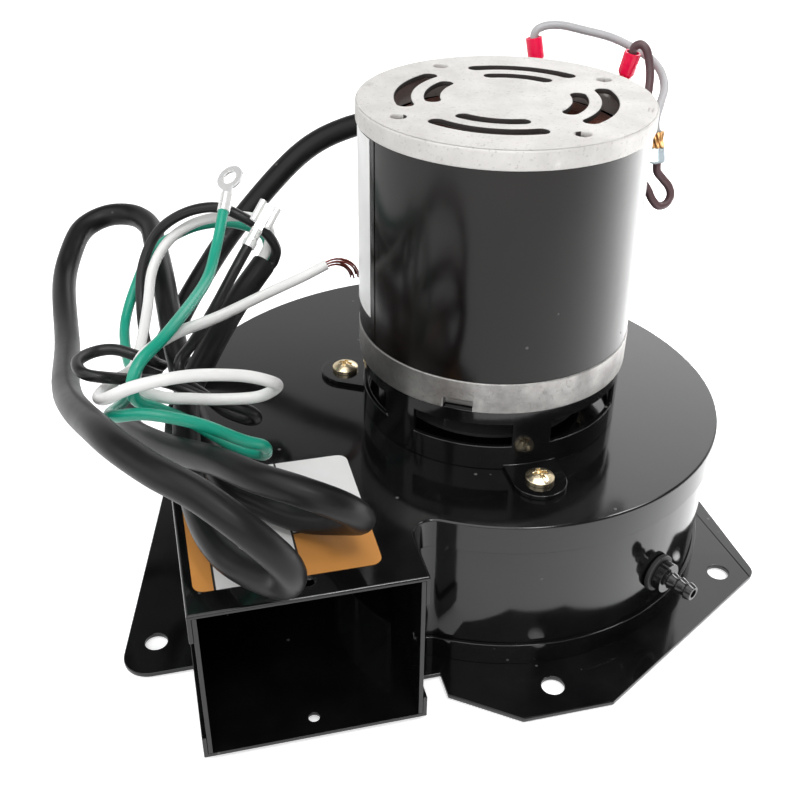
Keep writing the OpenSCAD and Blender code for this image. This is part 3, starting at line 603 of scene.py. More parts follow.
WINDING_COPPER = Finish("winding_copper", (0.30, 0.075, 0.035), (0.16, 0.035, 0.018), (0.22, 0.4),
                        metallic=0.5, relief=Relief.CAST, grain=900.0, depth=0.0002, coat=0.5)
BRONZE = Finish("bronze", (0.56, 0.38, 0.18), (0.42, 0.27, 0.12), (0.28, 0.45), metallic=1.0,
                relief=Relief.CAST, grain=2400.0, depth=0.00002)
SHAFT_STEEL = Finish("shaft_steel", (0.63, 0.63, 0.63), (0.5, 0.5, 0.5), (0.12, 0.24), metallic=1.0,
                     relief=Relief.DRAWN, depth=0.000004)
ROTOR_ALLOY = Finish("rotor_alloy", (0.68, 0.68, 0.67), (0.55, 0.55, 0.54), (0.3, 0.5), metallic=0.95,
                     relief=Relief.CAST, grain=1500.0, depth=0.00005)
SLEEVE_PLASTIC = Finish("sleeve_plastic", (0.68, 0.63, 0.5), (0.6, 0.55, 0.43), (0.35, 0.5))
FAN_PLASTIC = Finish("fan_plastic", (0.055, 0.055, 0.058), (0.04, 0.04, 0.042), (0.32, 0.45))
ZINC_SHEET = Finish("zinc_sheet", (0.46, 0.47, 0.48), (0.36, 0.37, 0.385), (0.5, 0.64), metallic=0.3,
                    patch=140.0, relief=Relief.DRAWN, stretch=(120.0, 120.0, 1500.0), depth=0.00001)
BLACK_RUBBER = Finish("black_rubber", (0.012, 0.012, 0.012), (0.02, 0.02, 0.02), (0.5, 0.68), grain=1600.0,
                      depth=0.00002)
BLACK_PLASTIC = Finish("black_plastic", (0.004, 0.004, 0.004), (0.006, 0.006, 0.006), (0.12, 0.2),
                       grain=1200.0)
CAPACITOR_CASE = Finish("capacitor_case", (0.018, 0.018, 0.019), (0.027, 0.027, 0.028), (0.3, 0.44),
                        grain=1500.0, depth=0.00002)
TINNED = Finish("tinned", (0.90, 0.90, 0.89), (0.82, 0.82, 0.81), (0.2, 0.36), metallic=0.55,
                relief=Relief.DRAWN, stretch=(700.0, 90.0, 700.0), depth=0.000003)
RED_SLEEVE = Finish("red_sleeve", (0.93, 0.006, 0.075), (0.82, 0.004, 0.055), (0.18, 0.3), clear=0.1,
                    specular=0.35)
LEAD_GREY = Finish("lead_grey", (0.38, 0.375, 0.385), (0.33, 0.325, 0.335), (0.3, 0.44), grain=2500.0)
LEAD_BROWN = Finish("lead_brown", (0.105, 0.055, 0.062), (0.075, 0.038, 0.043), (0.28, 0.42), grain=2500.0)
SPLICE_CLEAR = Finish("splice_clear", (0.72, 0.82, 0.86), (0.66, 0.76, 0.8), (0.08, 0.16), clear=0.7)
CORD_JACKET = Finish("cord_jacket", (0.005, 0.0048, 0.0052), (0.009, 0.0086, 0.009), (0.34, 0.44),
                     grain=1800.0, depth=0.000015, dust=0.03, specular=0.22)
CORE_WHITE = Finish("core_white", (0.80, 0.80, 0.785), (0.73, 0.73, 0.715), (0.28, 0.4), grain=2500.0)
CORE_BLACK = Finish("core_black", (0.008, 0.008, 0.008), (0.014, 0.014, 0.014), (0.26, 0.38), grain=2500.0,
                    specular=0.3)
CORE_GREEN = Finish("core_green", (0.005, 0.32, 0.215), (0.004, 0.27, 0.175), (0.26, 0.38), grain=2500.0)
BARE_COPPER = Finish("bare_copper", (0.36, 0.085, 0.06), (0.22, 0.045, 0.035), (0.25, 0.4), metallic=0.9,
                     relief=Relief.DRAWN, stretch=(900.0, 90.0, 900.0), depth=0.00002)
TWISTED_COPPER = Finish("bare_copper", (0.78, 0.47, 0.20), (0.55, 0.28, 0.11), (0.22, 0.36), metallic=0.9,
                        relief=Relief.DRAWN, stretch=(900.0, 900.0, 120.0), depth=0.00001,
                        label="twisted_copper")
AMBER: Colour = (0.62, 0.27, 0.065)
INK: Colour = (0.02, 0.02, 0.02)
LID_PAPER = Finish("core_white", (0.80, 0.80, 0.79), (0.76, 0.755, 0.74), (0.34, 0.5), grain=2200.0,
                   depth=0.00001, label="lid_paper",
                   panels=(Panel((-101.5, -95.9), (-72.1, -21.6), AMBER),
                           Panel((-96.2, -95.6), (-72.1, -21.6), INK),
                           Panel((-73.2, -51.7), (-72.1, -54.6), AMBER),
                           Panel((-73.6, -73.0), (-72.1, -21.6), INK),
                           Panel((-73.6, -51.7), (-54.9, -54.3), INK)))
SHELL_PAPER = Finish("core_white", (0.82, 0.82, 0.815), (0.78, 0.78, 0.77), (0.3, 0.45), grain=2200.0,
                     depth=0.00001, label="shell_paper")

FoldTest = Callable[[Vector, Vector], bool]


class Bench:
    """Makes the pieces, dresses them and puts them on their bodies."""

    # Faces that turn by less than FLAT are one face, and edges that turn by more than SHARP are rounded.
    FLAT = math.radians(0.6)
    SHARP = math.radians(30)
    ROUND_STEPS = 3
    ROUND_PROFILE = 0.5
    FACE_WEIGHT = 80

    def __init__(self) -> None:
        """Starts with a finish shop."""
        self.finishes = FinishShop()

    @staticmethod
    def body(node: str) -> str:
        """The body that a CAD node rides on."""
        return body_of(frame["nodes"][node])[0]

    def dress(self, node: str, finish: Finish) -> None:
        """Gives a CAD node, whose shape stays, the material of its finish.

        Args:
            node: The CAD node.
            finish: Its finish.
        """
        piece = frame["nodes"][node]
        piece.data.materials.clear()
        piece.data.materials.append(self.finishes.material(finish))
        LOG.info("dressed %s in %s", node, finish.name)

    def mount(self, name: str, data: bpy.types.Mesh | bpy.types.Curve, body: str, finish: Finish,
              replaces: Sequence[str] = ()) -> bpy.types.Object:
        """Makes a piece of a mesh or a curve and puts it on its body.

        Args:
            name: The piece's name.
            data: Its mesh or curve.
            body: The CAD body that it rides on.
            finish: Its finish.
            replaces: The CAD nodes that it stands for.

        Returns:
            The new object.
        """
        data.materials.append(self.finishes.material(finish))
        piece = put_in_scene(name, data)
        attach(piece, body)
        if replaces:
            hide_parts(*replaces)
        LOG.info("placed %s on %s in %s", name, body, finish.name)
        return piece

    def place(self, name: str, built: bmesh.types.BMesh, body: str, finish: Finish,
              replaces: Sequence[str] = ()) -> bpy.types.Object:
        """Makes a piece of a finished mesh and puts it on its body.

        Args:
            name: The piece's name.
            built: The mesh, which is freed here.
            body: The CAD body that it rides on.
            finish: Its finish.
            replaces: The CAD nodes that it stands for.

        Returns:
            The new object.
        """
        mesh = bpy.data.meshes.new(name)
        built.to_mesh(mesh)
        built.free()
        return self.mount(name, mesh, body, finish, replaces)

    def skin(self, node: str, finish: Finish, edge: float, fold: float = 0.0,
             folded: FoldTest | None = None) -> None:
        """Makes a smooth copy of a CAD node with rounded edges.

        Args:
            node: The CAD node.
            finish: Its finish.
            edge: The rounding of its sharp edges, in millimetres.
            fold: The rounding of the edges where its sheet is folded, in millimetres.
            folded: Says from an edge's middle and direction, in millimetres, whether it is a fold.
        """
        built = bmesh.new()
        built.from_mesh(frame["nodes"][node].data)
        bmesh.ops.remove_doubles(built, verts=built.verts, dist=WELD)
        bmesh.ops.dissolve_limit(built, angle_limit=self.FLAT, verts=built.verts, edges=built.edges)
        widest = max(edge, fold)
        weight = built.edges.layers.float.new("bevel_weight_edge")
        for line in built.edges:
            turn = line.calc_face_angle_signed(0.0)
            if abs(turn) < self.SHARP:
                continue
            start, end = (corner.co / MM for corner in line.verts)
            is_fold = folded is not None and turn > 0 and folded((start + end) / 2, (end - start).normalized())
            line[weight] = (fold if is_fold else edge) / widest
        for face in built.faces:
            face.smooth = True
        piece = self.place(f"{node}_skin", built, self.body(node), finish, [node])
        rounding = piece.modifiers.new("rounded_edges", "BEVEL")
        rounding.limit_method = "WEIGHT"
        rounding.width = widest * MM
        rounding.segments = self.ROUND_STEPS
        rounding.profile = self.ROUND_PROFILE
        rounding.use_clamp_overlap = False
        flat = piece.modifiers.new("flat_faces", "WEIGHTED_NORMAL")
        flat.mode = "FACE_AREA"
        flat.weight = self.FACE_WEIGHT


@dataclass
class SubAssembly:
    """A group of pieces, and the bench that they are made on. Lengths are in millimetres."""

    bench: Bench

    def build(self) -> None:
        """Builds and dresses every piece of the group."""
        raise NotImplementedError


@dataclass
class Housing(SubAssembly):
    """The blower housing of folded black sheet, with its flange plate, pressure tap and lid sticker.

    An edge of the cover is a fold where it lies at the cover's top to within the level, rises by less than the
    slope, and is farther out than the radius that folds start from.
    """

    plate_edge: float = 0.3
    sheet_edge: float = 0.22
    grommet_edge: float = 0.35
    barb_edge: float = 0.12
    fold: float = 0.75
    fold_from: float = 46.0
    cover_top: float = 54.0
    level: float = 0.02
    slope: float = 0.1
    sticker_x: Span = (-101.4, -51.8)
    sticker_y: Span = (-72.0, -21.7)
    sticker_corner: float = 3.0
    sticker_corner_steps: int = 5
    sticker_t: float = 0.16
    sticker_lift: float = 0.02

    def build(self) -> None:
        """Builds and dresses every piece of the housing."""
        self.bench.skin("mounting_plate", BLACK_PAINT, self.plate_edge)
        self.bench.skin("bottom_pan", BLACK_PAINT, self.sheet_edge)
        self.bench.skin("scroll_wall", BLACK_PAINT, self.sheet_edge)
        self.bench.skin("top_cover", BLACK_PAINT, self.sheet_edge, self.fold, self._cover_fold)
        self.bench.skin("tap_grommet", BLACK_RUBBER, self.grommet_edge)
        self.bench.skin("hose_barb", BLACK_PLASTIC, self.barb_edge)
        self._sticker()

    def _cover_fold(self, middle: Vector, along: Vector) -> bool:
        """True for the cover's outer top edge, where its rim is folded down."""
        on_top = abs(middle.z - self.cover_top) < self.level and abs(along.z) < self.slope
        return on_top and middle.xy.length > self.fold_from

    def _sticker(self) -> None:
        """Builds the plain two-colour sticker on the duct's lid, with round corners."""
        built = bmesh.new()
        bmesh.ops.create_grid(built, x_segments=1, y_segments=1, size=0.5)
        wide, deep = (high - low for low, high in (self.sticker_x, self.sticker_y))
        bmesh.ops.scale(built, vec=(wide * MM, deep * MM, 1.0), verts=built.verts)
        bmesh.ops.bevel(built, geom=built.verts[:], offset=self.sticker_corner * MM, offset_type="OFFSET",
                        affect="VERTICES", segments=self.sticker_corner_steps, profile=0.5, material=-1)
        bmesh.ops.translate(built, vec=(0.0, 0.0, self.sticker_t * MM), verts=grow(built, built.faces))
        middle = Vector((sum(self.sticker_x) / 2, sum(self.sticker_y) / 2, self.cover_top + self.sticker_lift))
        bmesh.ops.translate(built, vec=middle * MM, verts=built.verts)
        bmesh.ops.recalc_face_normals(built, faces=built.faces)
        self.bench.place("lid_sticker", built, "housing", LID_PAPER)


@dataclass
class MotorMount(SubAssembly):
    """The vented collar that carries the motor, and its screws."""

    collar_edge: float = 0.3
    screw_edge: float = 0.12

    def build(self) -> None:
        """Builds and dresses the collar and its screws."""
        self.bench.skin("motor_bracket", BLACK_PAINT, self.collar_edge)
        self.bench.skin("bracket_screws", SCREW_BRASS, self.screw_edge)
        self.bench.dress("motor_screws", SCREW_STEEL)


@dataclass(frozen=True)
class Band:
    """A thin strip round the motor shell, with its angles in degrees and its lengths in millimetres."""

    name: str
    start: float
    span: float
    z: Span
    thick: float
    steps: int
    finish: Finish


@dataclass
class Motor(SubAssembly):
    """The motor: its cast bells, its rolled shell with seam and bare label, and what is inside."""

    bell_edge: float = 0.45
    shell_edge: float = 0.25
    shell_r: float = 41.3
    band_lift: float = 0.03
    bands: tuple[Band, ...] = (Band("shell_label", -169.3, -71.0, (92.0, 146.0), 0.14, 36, SHELL_PAPER),
                               Band("shell_seam", -165.4, -2.0, (84.6, 146.6), 0.16, 3, SHELL_PAINT))
    inside: dict[str, Finish] = field(default_factory=lambda: {
        "stator_core": LAMINATION, "lower_bearing": BRONZE, "upper_bearing": BRONZE,
        "shaft": SHAFT_STEEL, "rotor_core": LAMINATION, "rotor_end_rings": ROTOR_ALLOY,
        "thrust_sleeves": SLEEVE_PLASTIC, "cooling_fan": FAN_PLASTIC, "stator_windings": WINDING_COPPER})

    def build(self) -> None:
        """Builds and dresses the motor from the outside in."""
        self.bench.skin("lower_end_bell", SHADED_LOWER_ALLOY, self.bell_edge)
        self.bench.skin("motor_shell", SHELL_PAINT, self.shell_edge)
        self.bench.skin("upper_end_bell", CAST_ALLOY, self.bell_edge)
        for node, finish in self.inside.items():
            self.bench.dress(node, finish)
        for band in self.bands:
            self._wrap(band)

    def _wrap(self, band: Band) -> None:
        """Wraps a band round the shell, a hair proud of the paint.

        Args:
            band: The band.
        """
        built = bmesh.new()
        start = math.radians(band.start)
        reach = self.shell_r + self.band_lift
        x, y = reach * math.cos(start), reach * math.sin(start)
        ends = [built.verts.new(Vector((x, y, z)) * MM) for z in band.z]
        bmesh.ops.spin(built, geom=[*ends, built.edges.new(ends)], axis=(0.0, 0.0, 1.0), cent=(0.0, 0.0, 0.0),
                       angle=math.radians(band.span), steps=band.steps)
        bmesh.ops.remove_doubles(built, verts=built.verts, dist=WELD)
        for face in built.faces:
            face.normal_update()
            if face.normal.dot(Vector((*face.calc_center_median().xy, 0.0))) < 0:
                face.normal_flip()
        for corner in grow(built, built.faces):
            corner.co.xy *= (reach + band.thick) / reach
        bmesh.ops.recalc_face_normals(built, faces=built.faces)
        shade(built)
        self.bench.place(band.name, built, "housing", band.finish)


@dataclass
class Impeller(SubAssembly):
    """The bladed wheel on the shaft's lower end."""

    ring_edge: float = 0.15
    plain: dict[str, Finish] = field(default_factory=lambda: {
        "impeller_hub": ROTOR_ALLOY, "impeller_set_screw": SCREW_STEEL, "impeller_back_plate": ZINC_SHEET,
        "impeller_blades": ZINC_SHEET})

    def build(self) -> None:
        """Builds and dresses the wheel."""
        for node, finish in self.plain.items():
            self.bench.dress(node, finish)
        self.bench.skin("impeller_inlet_ring", ZINC_SHEET, self.ring_edge)


@dataclass
class CapacitorSet(SubAssembly):
    """The run capacitor behind the shell, with its strap, terminals and red sleeves."""

    case_edge: float = 0.8
    strap_edge: float = 0.15
    sleeve_edge: float = 0.1

    def build(self) -> None:
        """Builds and dresses the capacitor's pieces."""
        self.bench.skin("capacitor_body", CAPACITOR_CASE, self.case_edge)
        self.bench.dress("capacitor_terminals", TINNED)
        self.bench.skin("capacitor_strap", ZINC_SHEET, self.strap_edge)
        self.bench.skin("terminal_sleeves", RED_SLEEVE, self.sleeve_edge)


@dataclass
class PushOn(SubAssembly):
    """The push-on terminal of the black core.

    Its sizes start from its foot, the core's end, with +Z along the core. A barrel is a radius with its limits in
    Z, and a block is a size with the Z of its middle.
    """

    foot: Vector
    along: Vector
    turn: float = 129.0
    sides: int = 24
    barrels: tuple[tuple[float, Span], ...] = ((2.1, (0.0, 2.2)), (1.75, (2.0, 6.4)))
    blocks: tuple[tuple[Point, float], ...] = (((2.8, 0.9, 2.6), 7.2), ((5.0, 0.7, 7.0), 11.6))
    roll_axis: Point = (2.4, 0.85, 8.1)
    roll_radii: Span = (0.6, 1.2)
    roll_angle: float = 250.0
    roll_steps: int = 10
    roll_l: float = 7.0

    def build(self) -> None:
        """Builds the barrel, the neck and the plate, with the plate's rolled edges turned to the front."""
        built = bmesh.new()
        for radius, (low, high) in self.barrels:
            bmesh.ops.create_cone(built, cap_ends=True, segments=self.sides, radius1=radius, radius2=radius,
                                  depth=high - low, matrix=Matrix.Translation((0.0, 0.0, (low + high) / 2)))
        for size, middle in self.blocks:
            place = Matrix.Translation((0.0, 0.0, middle)) @ Matrix.Diagonal((*size, 1.0))
            bmesh.ops.create_cube(built, size=1.0, matrix=place)
        for side in (-1.0, 1.0):
            self._roll(built, side)
        aim = Matrix.Rotation(math.atan2(self.along.y, self.along.x), 4, "Z")
        tilt = Matrix.Rotation(math.acos(self.along.z), 4, "Y")
        turn = Matrix.Rotation(math.radians(self.turn), 4, "Z")
        stand = Matrix.Scale(MM, 4) @ Matrix.Translation(self.foot) @ aim @ tilt @ turn
        bmesh.ops.transform(built, matrix=stand, verts=built.verts)
        bmesh.ops.recalc_face_normals(built, faces=built.faces)
        shade(built)
        body = self.bench.body("blade_terminal")
        self.bench.place("blade_terminal_skin", built, body, TINNED, ["blade_terminal"])

    def _roll(self, built: bmesh.types.BMesh, side: float) -> None:
        """Rolls one edge of the plate over towards its middle.

        Args:
            built: The terminal's mesh.
            side: The edge, as -1 or 1 along X.
        """
        axis = Vector((side * self.roll_axis[0], *self.roll_axis[1:]))
        known = set(built.faces)
        lip = [built.verts.new(axis - Vector((0.0, radius, 0.0))) for radius in self.roll_radii]
        bmesh.ops.spin(built, geom=[*lip, built.edges.new(lip)], axis=(0.0, 0.0, side), cent=axis,
                       angle=math.radians(self.roll_angle), steps=self.roll_steps)
        ring = [face for face in built.faces if face not in known]
        bmesh.ops.translate(built, vec=(0.0, 0.0, self.roll_l), verts=grow(built, ring))


@dataclass(frozen=True)
class Route:
    """One cord or lead: its CAD node, finish and size, and the points that it runs through, in millimetres.

    It lists the pieces that sit at its far end.
    """

    node: str
    finish: Finish
    diameter: float
    far_end: FarEnd
    points: tuple[Point, ...]
    stiffness: str = "medium"
    lay: str = "coiled"
    carries: tuple[str, ...] = ()


@dataclass
class Wiring(SubAssembly):
    """The power cord with its cores and terminals, and the leads between capacitor and shell.

    Its steps go from one point of a route to the next, and its round steps go round a quarter of a cord.
    """

    ring_edge: float = 0.12
    splice_edge: float = 0.2
    grommet_edge: float = 0.2
    relief_edge: float = 0.3
    steps: int = 8
    round_steps: int = 6
    wires: int = 9
    wire_sides: int = 10
    wire_r: float = 0.68
    wire_ring: float = 1.6
    wire_l: float = 4.9
    wire_twist: float = 16.0
    wire_place: float = 0.72
    routes: tuple[Route, ...] = (
        Route("power_cord", CORD_JACKET, 7.8, FarEnd.BARE, (
            (-5.66, 40.3, 122), (-8.9, 63.5, 122), (-15, 74.5, 121.5), (-28, 82, 118.5), (-46, 84, 109),
            (-70, 77, 88), (-87, 62, 73), (-100, 43, 62), (-110, 24, 57), (-114, 0, 60), (-105, -29, 71),
            (-92, -55, 82), (-83, -70, 86), (-74, -76, 85), (-64, -78, 80), (-58, -73, 71), (-61, -63, 63),
            (-70, -55, 59), (-79, -47, 59), (-88, -36, 59), (-92, -18, 60), (-95, 4, 63), (-97, 24, 72),
            (-98, 56, 82), (-99, 74, 85), (-100, 86, 86.5), (-105, 95.5, 87), (-114, 98.8, 86.5),
            (-123, 95, 84), (-128, 84, 80), (-131, 68, 75), (-130, 31, 73), (-128, -17.5, 84),
            (-118, -61, 99), (-108, -79, 100), (-98, -89, 98), (-88, -96, 91), (-80, -96, 79), (-80, -89, 68),
            (-87, -79, 64), (-93, -70, 64), (-97, -55, 64), (-98, -35, 65), (-96, -8, 71), (-88, 8, 77),
            (-76, 27, 84), (-66, 37, 91)),
            stiffness="stiff"),
        Route("core_white", CORE_WHITE, 3.3, FarEnd.BARE, (
            (-66.7, 36.3, 92.9), (-64, 39.6, 95.5), (-62.8, 41.2, 98.8), (-63.8, 41.4, 102.8),
            (-68, 41, 105.5), (-76, 43, 106), (-86, 47, 103), (-95, 48, 97), (-101, 43, 90), (-104, 31, 83),
            (-107, 15, 80), (-110, 0, 80), (-115, -13, 84), (-119, -28, 89), (-117, -40, 95),
            (-109, -44, 100), (-96, -42, 100), (-83, -38, 96), (-75, -36, 92), (-72, -30, 86), (-77, -26, 81),
            (-87, -25, 81), (-95, -26, 83), (-103, -28, 86), (-109, -29, 91), (-107, -25, 97), (-98, -16, 98),
            (-84, 1, 93), (-69, 19, 89), (-55, 27, 90), (-47, 28, 93)), carries=("core_strands",)),
        Route("core_black", CORE_BLACK, 3.3, FarEnd.CONNECTOR, (
            (-64.4, 36, 90.1), (-62.6, 36.6, 92.1), (-61.8, 36.2, 96.5), (-64.6, 35.9, 102),
            (-70.5, 36.6, 107.2), (-79, 40, 110.5), (-89, 45, 107.5), (-98, 49, 100), (-104, 46, 90),
            (-106, 39, 80), (-106, 26, 74), (-104, 6, 78), (-102, -6, 83), (-107, -11, 89), (-114, -10, 92),
            (-120, -11, 92.5), (-124, -17, 93.5), (-122, -24, 93.5), (-114, -24, 91), (-102, -17, 84),
            (-91, -19.5, 78.5), (-84, -23, 77.5), (-79, -24, 75), (-77.5, -22.5, 71.5), (-80, -19.5, 69.5),
            (-86, -16.5, 71.5), (-91, -14, 76), (-96, -13, 81), (-97, -11, 86), (-92, -3, 88), (-85, 9, 91),
            (-77, 19.5, 98), (-72, 24, 103.5)), carries=("blade_terminal_skin",)),
        Route("core_green", CORE_GREEN, 3.3, FarEnd.CONNECTOR, (
            (-67, 38.6, 90.1), (-64, 41.8, 92.4), (-64, 45, 97), (-69, 47, 100), (-77, 50, 101),
            (-88, 54, 98), (-100, 57, 90), (-107, 51, 81), (-112, 39, 73), (-112, 20, 71), (-110, 2, 74),
            (-114, -14, 77), (-117, -30, 84), (-115, -41, 90), (-107, -45, 92), (-95, -46, 88),
            (-84, -46, 81), (-78, -43, 76), (-78, -37, 69), (-86, -30, 69), (-96, -27, 76),
            (-104, -31.5, 84.5), (-110, -36, 92), (-108, -34, 100), (-99, -22, 102.5), (-87, 5, 102),
            (-82, 19, 106), (-78, 30, 113)),
            carries=("ring_terminal_skin",)),
        Route("lead_grey", LEAD_GREY, 2.6, FarEnd.OBJECT, (
            (27.02, 51.34, 152.86), (26.77, 51.58, 154.4), (27.3, 51.5, 156.1), (28.8, 51.4, 157.1),
            (31.6, 50.9, 157.8), (35.8, 49.5, 157.8), (41.3, 46.7, 156.8), (49, 42, 155.3), (55, 37.5, 152.8),
            (59, 32, 150.4), (60.5, 27, 147.4), (59.5, 22, 144.2), (56.5, 17.2, 142), (53.8, 13, 140.6),
            (52.1, 10.5, 138.3), (52.3, 9.8, 135.5)),
            lay="loose", carries=("splice_connector_skin", "splice_wires")),
        Route("lead_brown", LEAD_BROWN, 2.6, FarEnd.OBJECT, (
            (50.36, 28.8, 152.86), (50.62, 28.55, 154.52), (51, 28.15, 156), (52.2, 27, 156.8),
            (53.5, 25.7, 155.6), (54.3, 24.7, 152.9), (54.6, 23.4, 149.6), (54.3, 22.1, 146.2),
            (53.2, 20.3, 142.2), (50.4, 17.4, 138.1), (46.1, 13.2, 135.2), (39.12, 11.22, 135)), lay="loose"),
        Route("lead_loop", LEAD_BROWN, 2.6, FarEnd.OBJECT, (
            (52.9, 7.5, 126.2), (53.1, 6.9, 123.5), (55, 6.3, 121.2), (56.9, 5.4, 118.9), (57.5, 4.6, 116.2),
            (56, 4, 113.9), (53.3, 3.8, 113.6), (51.2, 4.4, 115.8), (49.8, 5.6, 118.8), (47.6, 7, 121.6),
            (44.5, 7.4, 123.5), (40.14, 6.72, 123.5)), lay="loose"),
    )

    def build(self) -> None:
        """Builds what the cords end in, and then the cords along their routes."""
        self.bench.dress("core_strands", BARE_COPPER)
        before, foot = (Vector(point) for point in self._points("core_black")[-2:])
        PushOn(self.bench, foot, (foot - before).normalized()).build()
        self.bench.skin("ring_terminal", TINNED, self.ring_edge)
        self.bench.skin("splice_connector", SPLICE_CLEAR, self.splice_edge)
        self._splice_wires()
        self.bench.skin("lead_grommets", BLACK_RUBBER, self.grommet_edge)
        self.bench.skin("cord_relief", BLACK_RUBBER, self.relief_edge)
        for route in self.routes:
            self._cord(route)

    def _points(self, node: str) -> tuple[Point, ...]:
        """The points of a cord's route, in millimetres."""
        return next(route.points for route in self.routes if route.node == node)

    def _splice_wires(self) -> None:
        """Lays the twisted bare wires round the thin half of the crimp splice."""
        foot = Vector(self._points("lead_loop")[0]) * MM
        head = Vector(self._points("lead_grey")[-1]) * MM
        along = (head - foot).normalized().to_track_quat("Z", "Y").to_matrix().to_4x4()
        stand = Matrix.Translation(foot.lerp(head, self.wire_place)) @ along
        out = Matrix.Translation((self.wire_ring * MM, 0.0, 0.0))
        lean = Matrix.Rotation(math.radians(self.wire_twist), 4, "X")
        built = bmesh.new()
        for count in range(self.wires):
            turn = Matrix.Rotation(2 * math.pi * count / self.wires, 4, "Z")
            bmesh.ops.create_cone(built, cap_ends=True, segments=self.wire_sides, radius1=self.wire_r * MM,
                                  radius2=self.wire_r * MM, depth=self.wire_l * MM,
                                  matrix=stand @ turn @ out @ lean)
        for face in built.faces:
            face.smooth = len(face.verts) == 4
        self.bench.place("splice_wires", built, "housing", TWISTED_COPPER)

    def _line(self, points: Sequence[Point]) -> list[Vector]:
        """Smooths a route.

        Args:
            points: The route's points, in millimetres.

        Returns:
            Points close together on one smooth curve through them, in metres.
        """
        knots = [Vector(point) * MM for point in points]
        knots = [2 * knots[0] - knots[1], *knots, 2 * knots[-1] - knots[-2]]
        smooth: list[Vector] = []
        for a, b, c, d in zip(knots, knots[1:], knots[2:], knots[3:]):
            for step in range(self.steps):
                t = step / self.steps
                smooth.append(0.5 * (2 * b + (c - a) * t + (2 * a - 5 * b + 4 * c - d) * t * t
                                     + (3 * b - a - 3 * c + d) * t ** 3))
        return [*smooth, knots[-2]]

    def _cord(self, route: Route) -> None:
        """Args:
            route: The cord's route.
        """
        line = self._line(route.points)
        curve = bpy.data.curves.new(f"{route.node}_run", "CURVE")
        curve.dimensions = "3D"
        curve.bevel_depth = route.diameter / 2 * MM
        curve.bevel_resolution = self.round_steps
        curve.use_fill_caps = True
        spline = curve.splines.new("POLY")
        spline.points.add(len(line) - 1)
        for knot, place in zip(spline.points, line):
            knot.co = (*place, 1.0)
        piece = self.bench.mount(f"{route.node}_run", curve, "housing", route.finish, [route.node])


@dataclass(frozen=True)
class Lamp:
    """A soft lamp: its place, width and height in metres, power in watts, aim in metres and beam in degrees."""

    name: str
    place: Point
    size: Span
    power: float
    aim: Point = (0.0, 0.0, 0.06)
    spread: float = 180.0


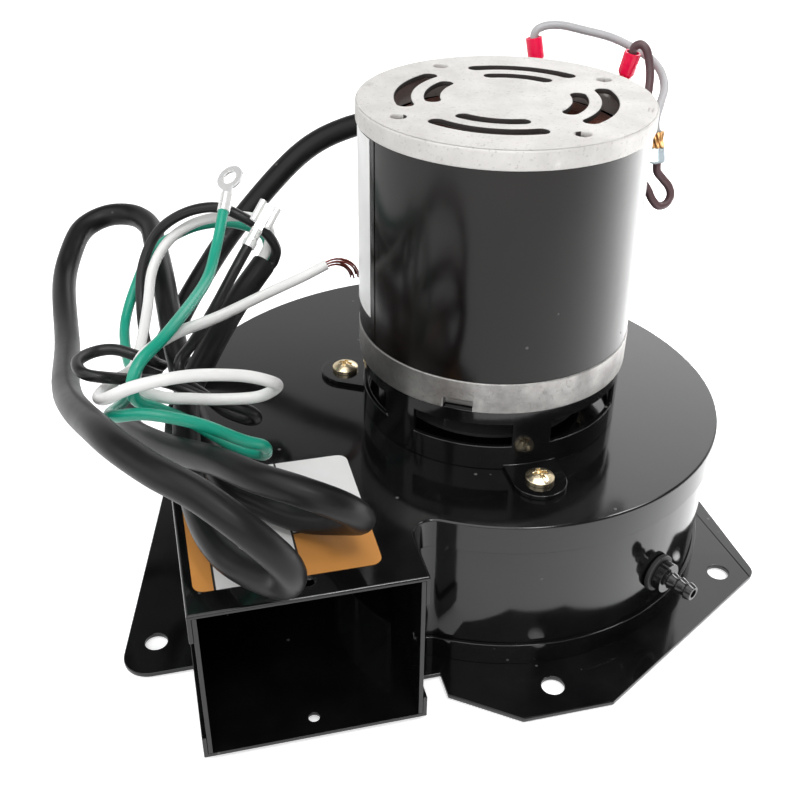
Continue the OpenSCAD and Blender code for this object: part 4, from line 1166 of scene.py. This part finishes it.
@dataclass
class Studio:
    """The camera at the photograph's place, the pale floor, the white surround and the soft lamps, in metres.

    The surround goes from its high to its low colour over its rise in Z, and its front in Y is dimmed.
    """

    eye: Point = (-0.10193, -0.28362, 0.24562)
    right: Point = (0.9702, -0.2420, 0.0088)
    up: Point = (0.1242, 0.5283, 0.8401)
    ahead: Point = (0.2079, 0.8139, -0.5426)
    lens: float = 49.07
    sensor: float = 36.0
    clip: Span = (0.01, 50.0)
    floor_z: float = -0.0006
    floor_size: float = 6.0
    floor_paint: Colour = (0.9, 0.9, 0.9)
    floor_glow: float = 0.5
    surround_low: Colour = (0.9, 0.9, 0.9)
    surround_high: Colour = (0.10, 0.10, 0.105)
    surround_rise: Span = (0.64, 0.48)
    surround_front: Span = (-0.35, 0.25)
    surround_dim: Span = (0.35, 1.0)
    lamps: tuple[Lamp, ...] = (
        Lamp("overhead_box", (-0.2, -0.2, 1.05), (0.9, 0.9), 6.2),
        Lamp("key_box", (0.15, -0.75, 1.2), (0.22, 0.22), 3.8),
        Lamp("right_box", (0.52, 0.12, 0.55), (0.5, 0.5), 6.2, aim=(0.52, 0.11, 0.0), spread=84.0),
        Lamp("back_box", (0.78, 1.05, 0.82), (0.95, 0.85), 4.8),
        Lamp("left_box", (-0.95, -0.25, 0.6), (0.7, 0.7), 2.6),
        Lamp("front_box", (-0.35, -1.0, 0.7), (1.0, 0.7), 4.7, aim=(0.0, 0.0, 0.08)))

    def build(self) -> None:
        """Sets up everything round the object."""
        bpy.context.scene.view_settings.view_transform = "Standard"
        self._camera()
        self._surround()
        self._floor()
        for lamp in self.lamps:
            self._hang(lamp)

    def _camera(self) -> None:
        """Puts the camera where the photograph was taken from."""
        data = bpy.data.cameras.new("photo_camera")
        data.lens = self.lens
        data.sensor_width = self.sensor
        data.clip_start, data.clip_end = self.clip
        camera = put_in_scene("photo_camera", data)
        turn = Matrix((self.right, self.up, -Vector(self.ahead))).transposed()
        camera.matrix_world = Matrix.Translation(self.eye) @ turn.to_4x4()
        bpy.context.scene.camera = camera

    def _surround(self) -> None:
        """Draws a white surround low down that darkens overhead, and is plain white to the camera."""
        world = bpy.data.worlds.new("studio_surround")
        bpy.context.scene.world = world
        world.use_nodes = True
        board = Board(world.node_tree)
        sky = board.add("ShaderNodeTexCoord").outputs["Generated"]
        way = board.add("ShaderNodeSeparateXYZ", {"Vector": sky}).outputs
        low = board.span(way["Z"], self.surround_rise)
        front = board.span(way["Y"], self.surround_front, self.surround_dim)
        soft = board.tint(board.math("MULTIPLY", low, front), self.surround_high, self.surround_low)
        straight = board.add("ShaderNodeLightPath").outputs["Is Camera Ray"]
        light = board.add("ShaderNodeBackground", {"Color": board.tint(straight, soft, WHITE), "Strength": 1.0})
        board.join(light.outputs[0], board.add("ShaderNodeOutputWorld").inputs["Surface"])

    def _floor(self) -> None:
        """Lays a white floor that keeps the object's soft shadow.

        It glows only for the rays that see a background: straight, mirrored or through glass.
        """
        built = bmesh.new()
        bmesh.ops.create_grid(built, x_segments=1, y_segments=1, size=self.floor_size / 2)
        bmesh.ops.translate(built, vec=(0.0, 0.0, self.floor_z), verts=built.verts)
        mesh = bpy.data.meshes.new("studio_floor")
        built.to_mesh(mesh)
        built.free()
        material = bpy.data.materials.new("floor_white")
        material.use_nodes = True
        board = Board(material.node_tree)
        rays = board.add("ShaderNodeLightPath").outputs
        seen = board.math("MAXIMUM", rays["Is Camera Ray"], rays["Is Glossy Ray"])
        seen = board.math("MAXIMUM", seen, rays["Is Transmission Ray"])
        strength = board.math("MULTIPLY", seen, self.floor_glow)
        both = board.add("ShaderNodeAddShader")
        for layer, socket in zip((board.add("ShaderNodeBsdfDiffuse", {"Color": self.floor_paint}),
                                  board.add("ShaderNodeEmission", {"Color": WHITE, "Strength": strength})),
                                 both.inputs):
            board.join(layer.outputs[0], socket)
        board.join(both.outputs[0], board.add("ShaderNodeOutputMaterial").inputs["Surface"])
        mesh.materials.append(material)
        put_in_scene("studio_floor", mesh)

    @staticmethod
    def _hang(lamp: Lamp) -> None:
        """Hangs a soft lamp.

        Args:
            lamp: The lamp.
        """
        data = bpy.data.lights.new(lamp.name, "AREA")
        data.shape = "RECTANGLE"
        data.size, data.size_y = lamp.size
        data.energy = lamp.power
        data.spread = math.radians(lamp.spread)
        hung = put_in_scene(lamp.name, data)
        hung.location = lamp.place
        hung.rotation_mode = "QUATERNION"
        hung.rotation_quaternion = (Vector(lamp.aim) - Vector(lamp.place)).to_track_quat("-Z", "Y")


def main() -> None:
    """Builds the studio and every sub-assembly."""
    logging.basicConfig(level=logging.INFO, format="%(message)s")
    bench = Bench()
    Studio().build()
    for kind in (Wiring, Housing, MotorMount, Motor, Impeller, CapacitorSet):
        kind(bench).build()
        LOG.info("finished the %s", kind.__name__)
    bpy.context.view_layer.update()


if __name__ == "__main__":
    main()
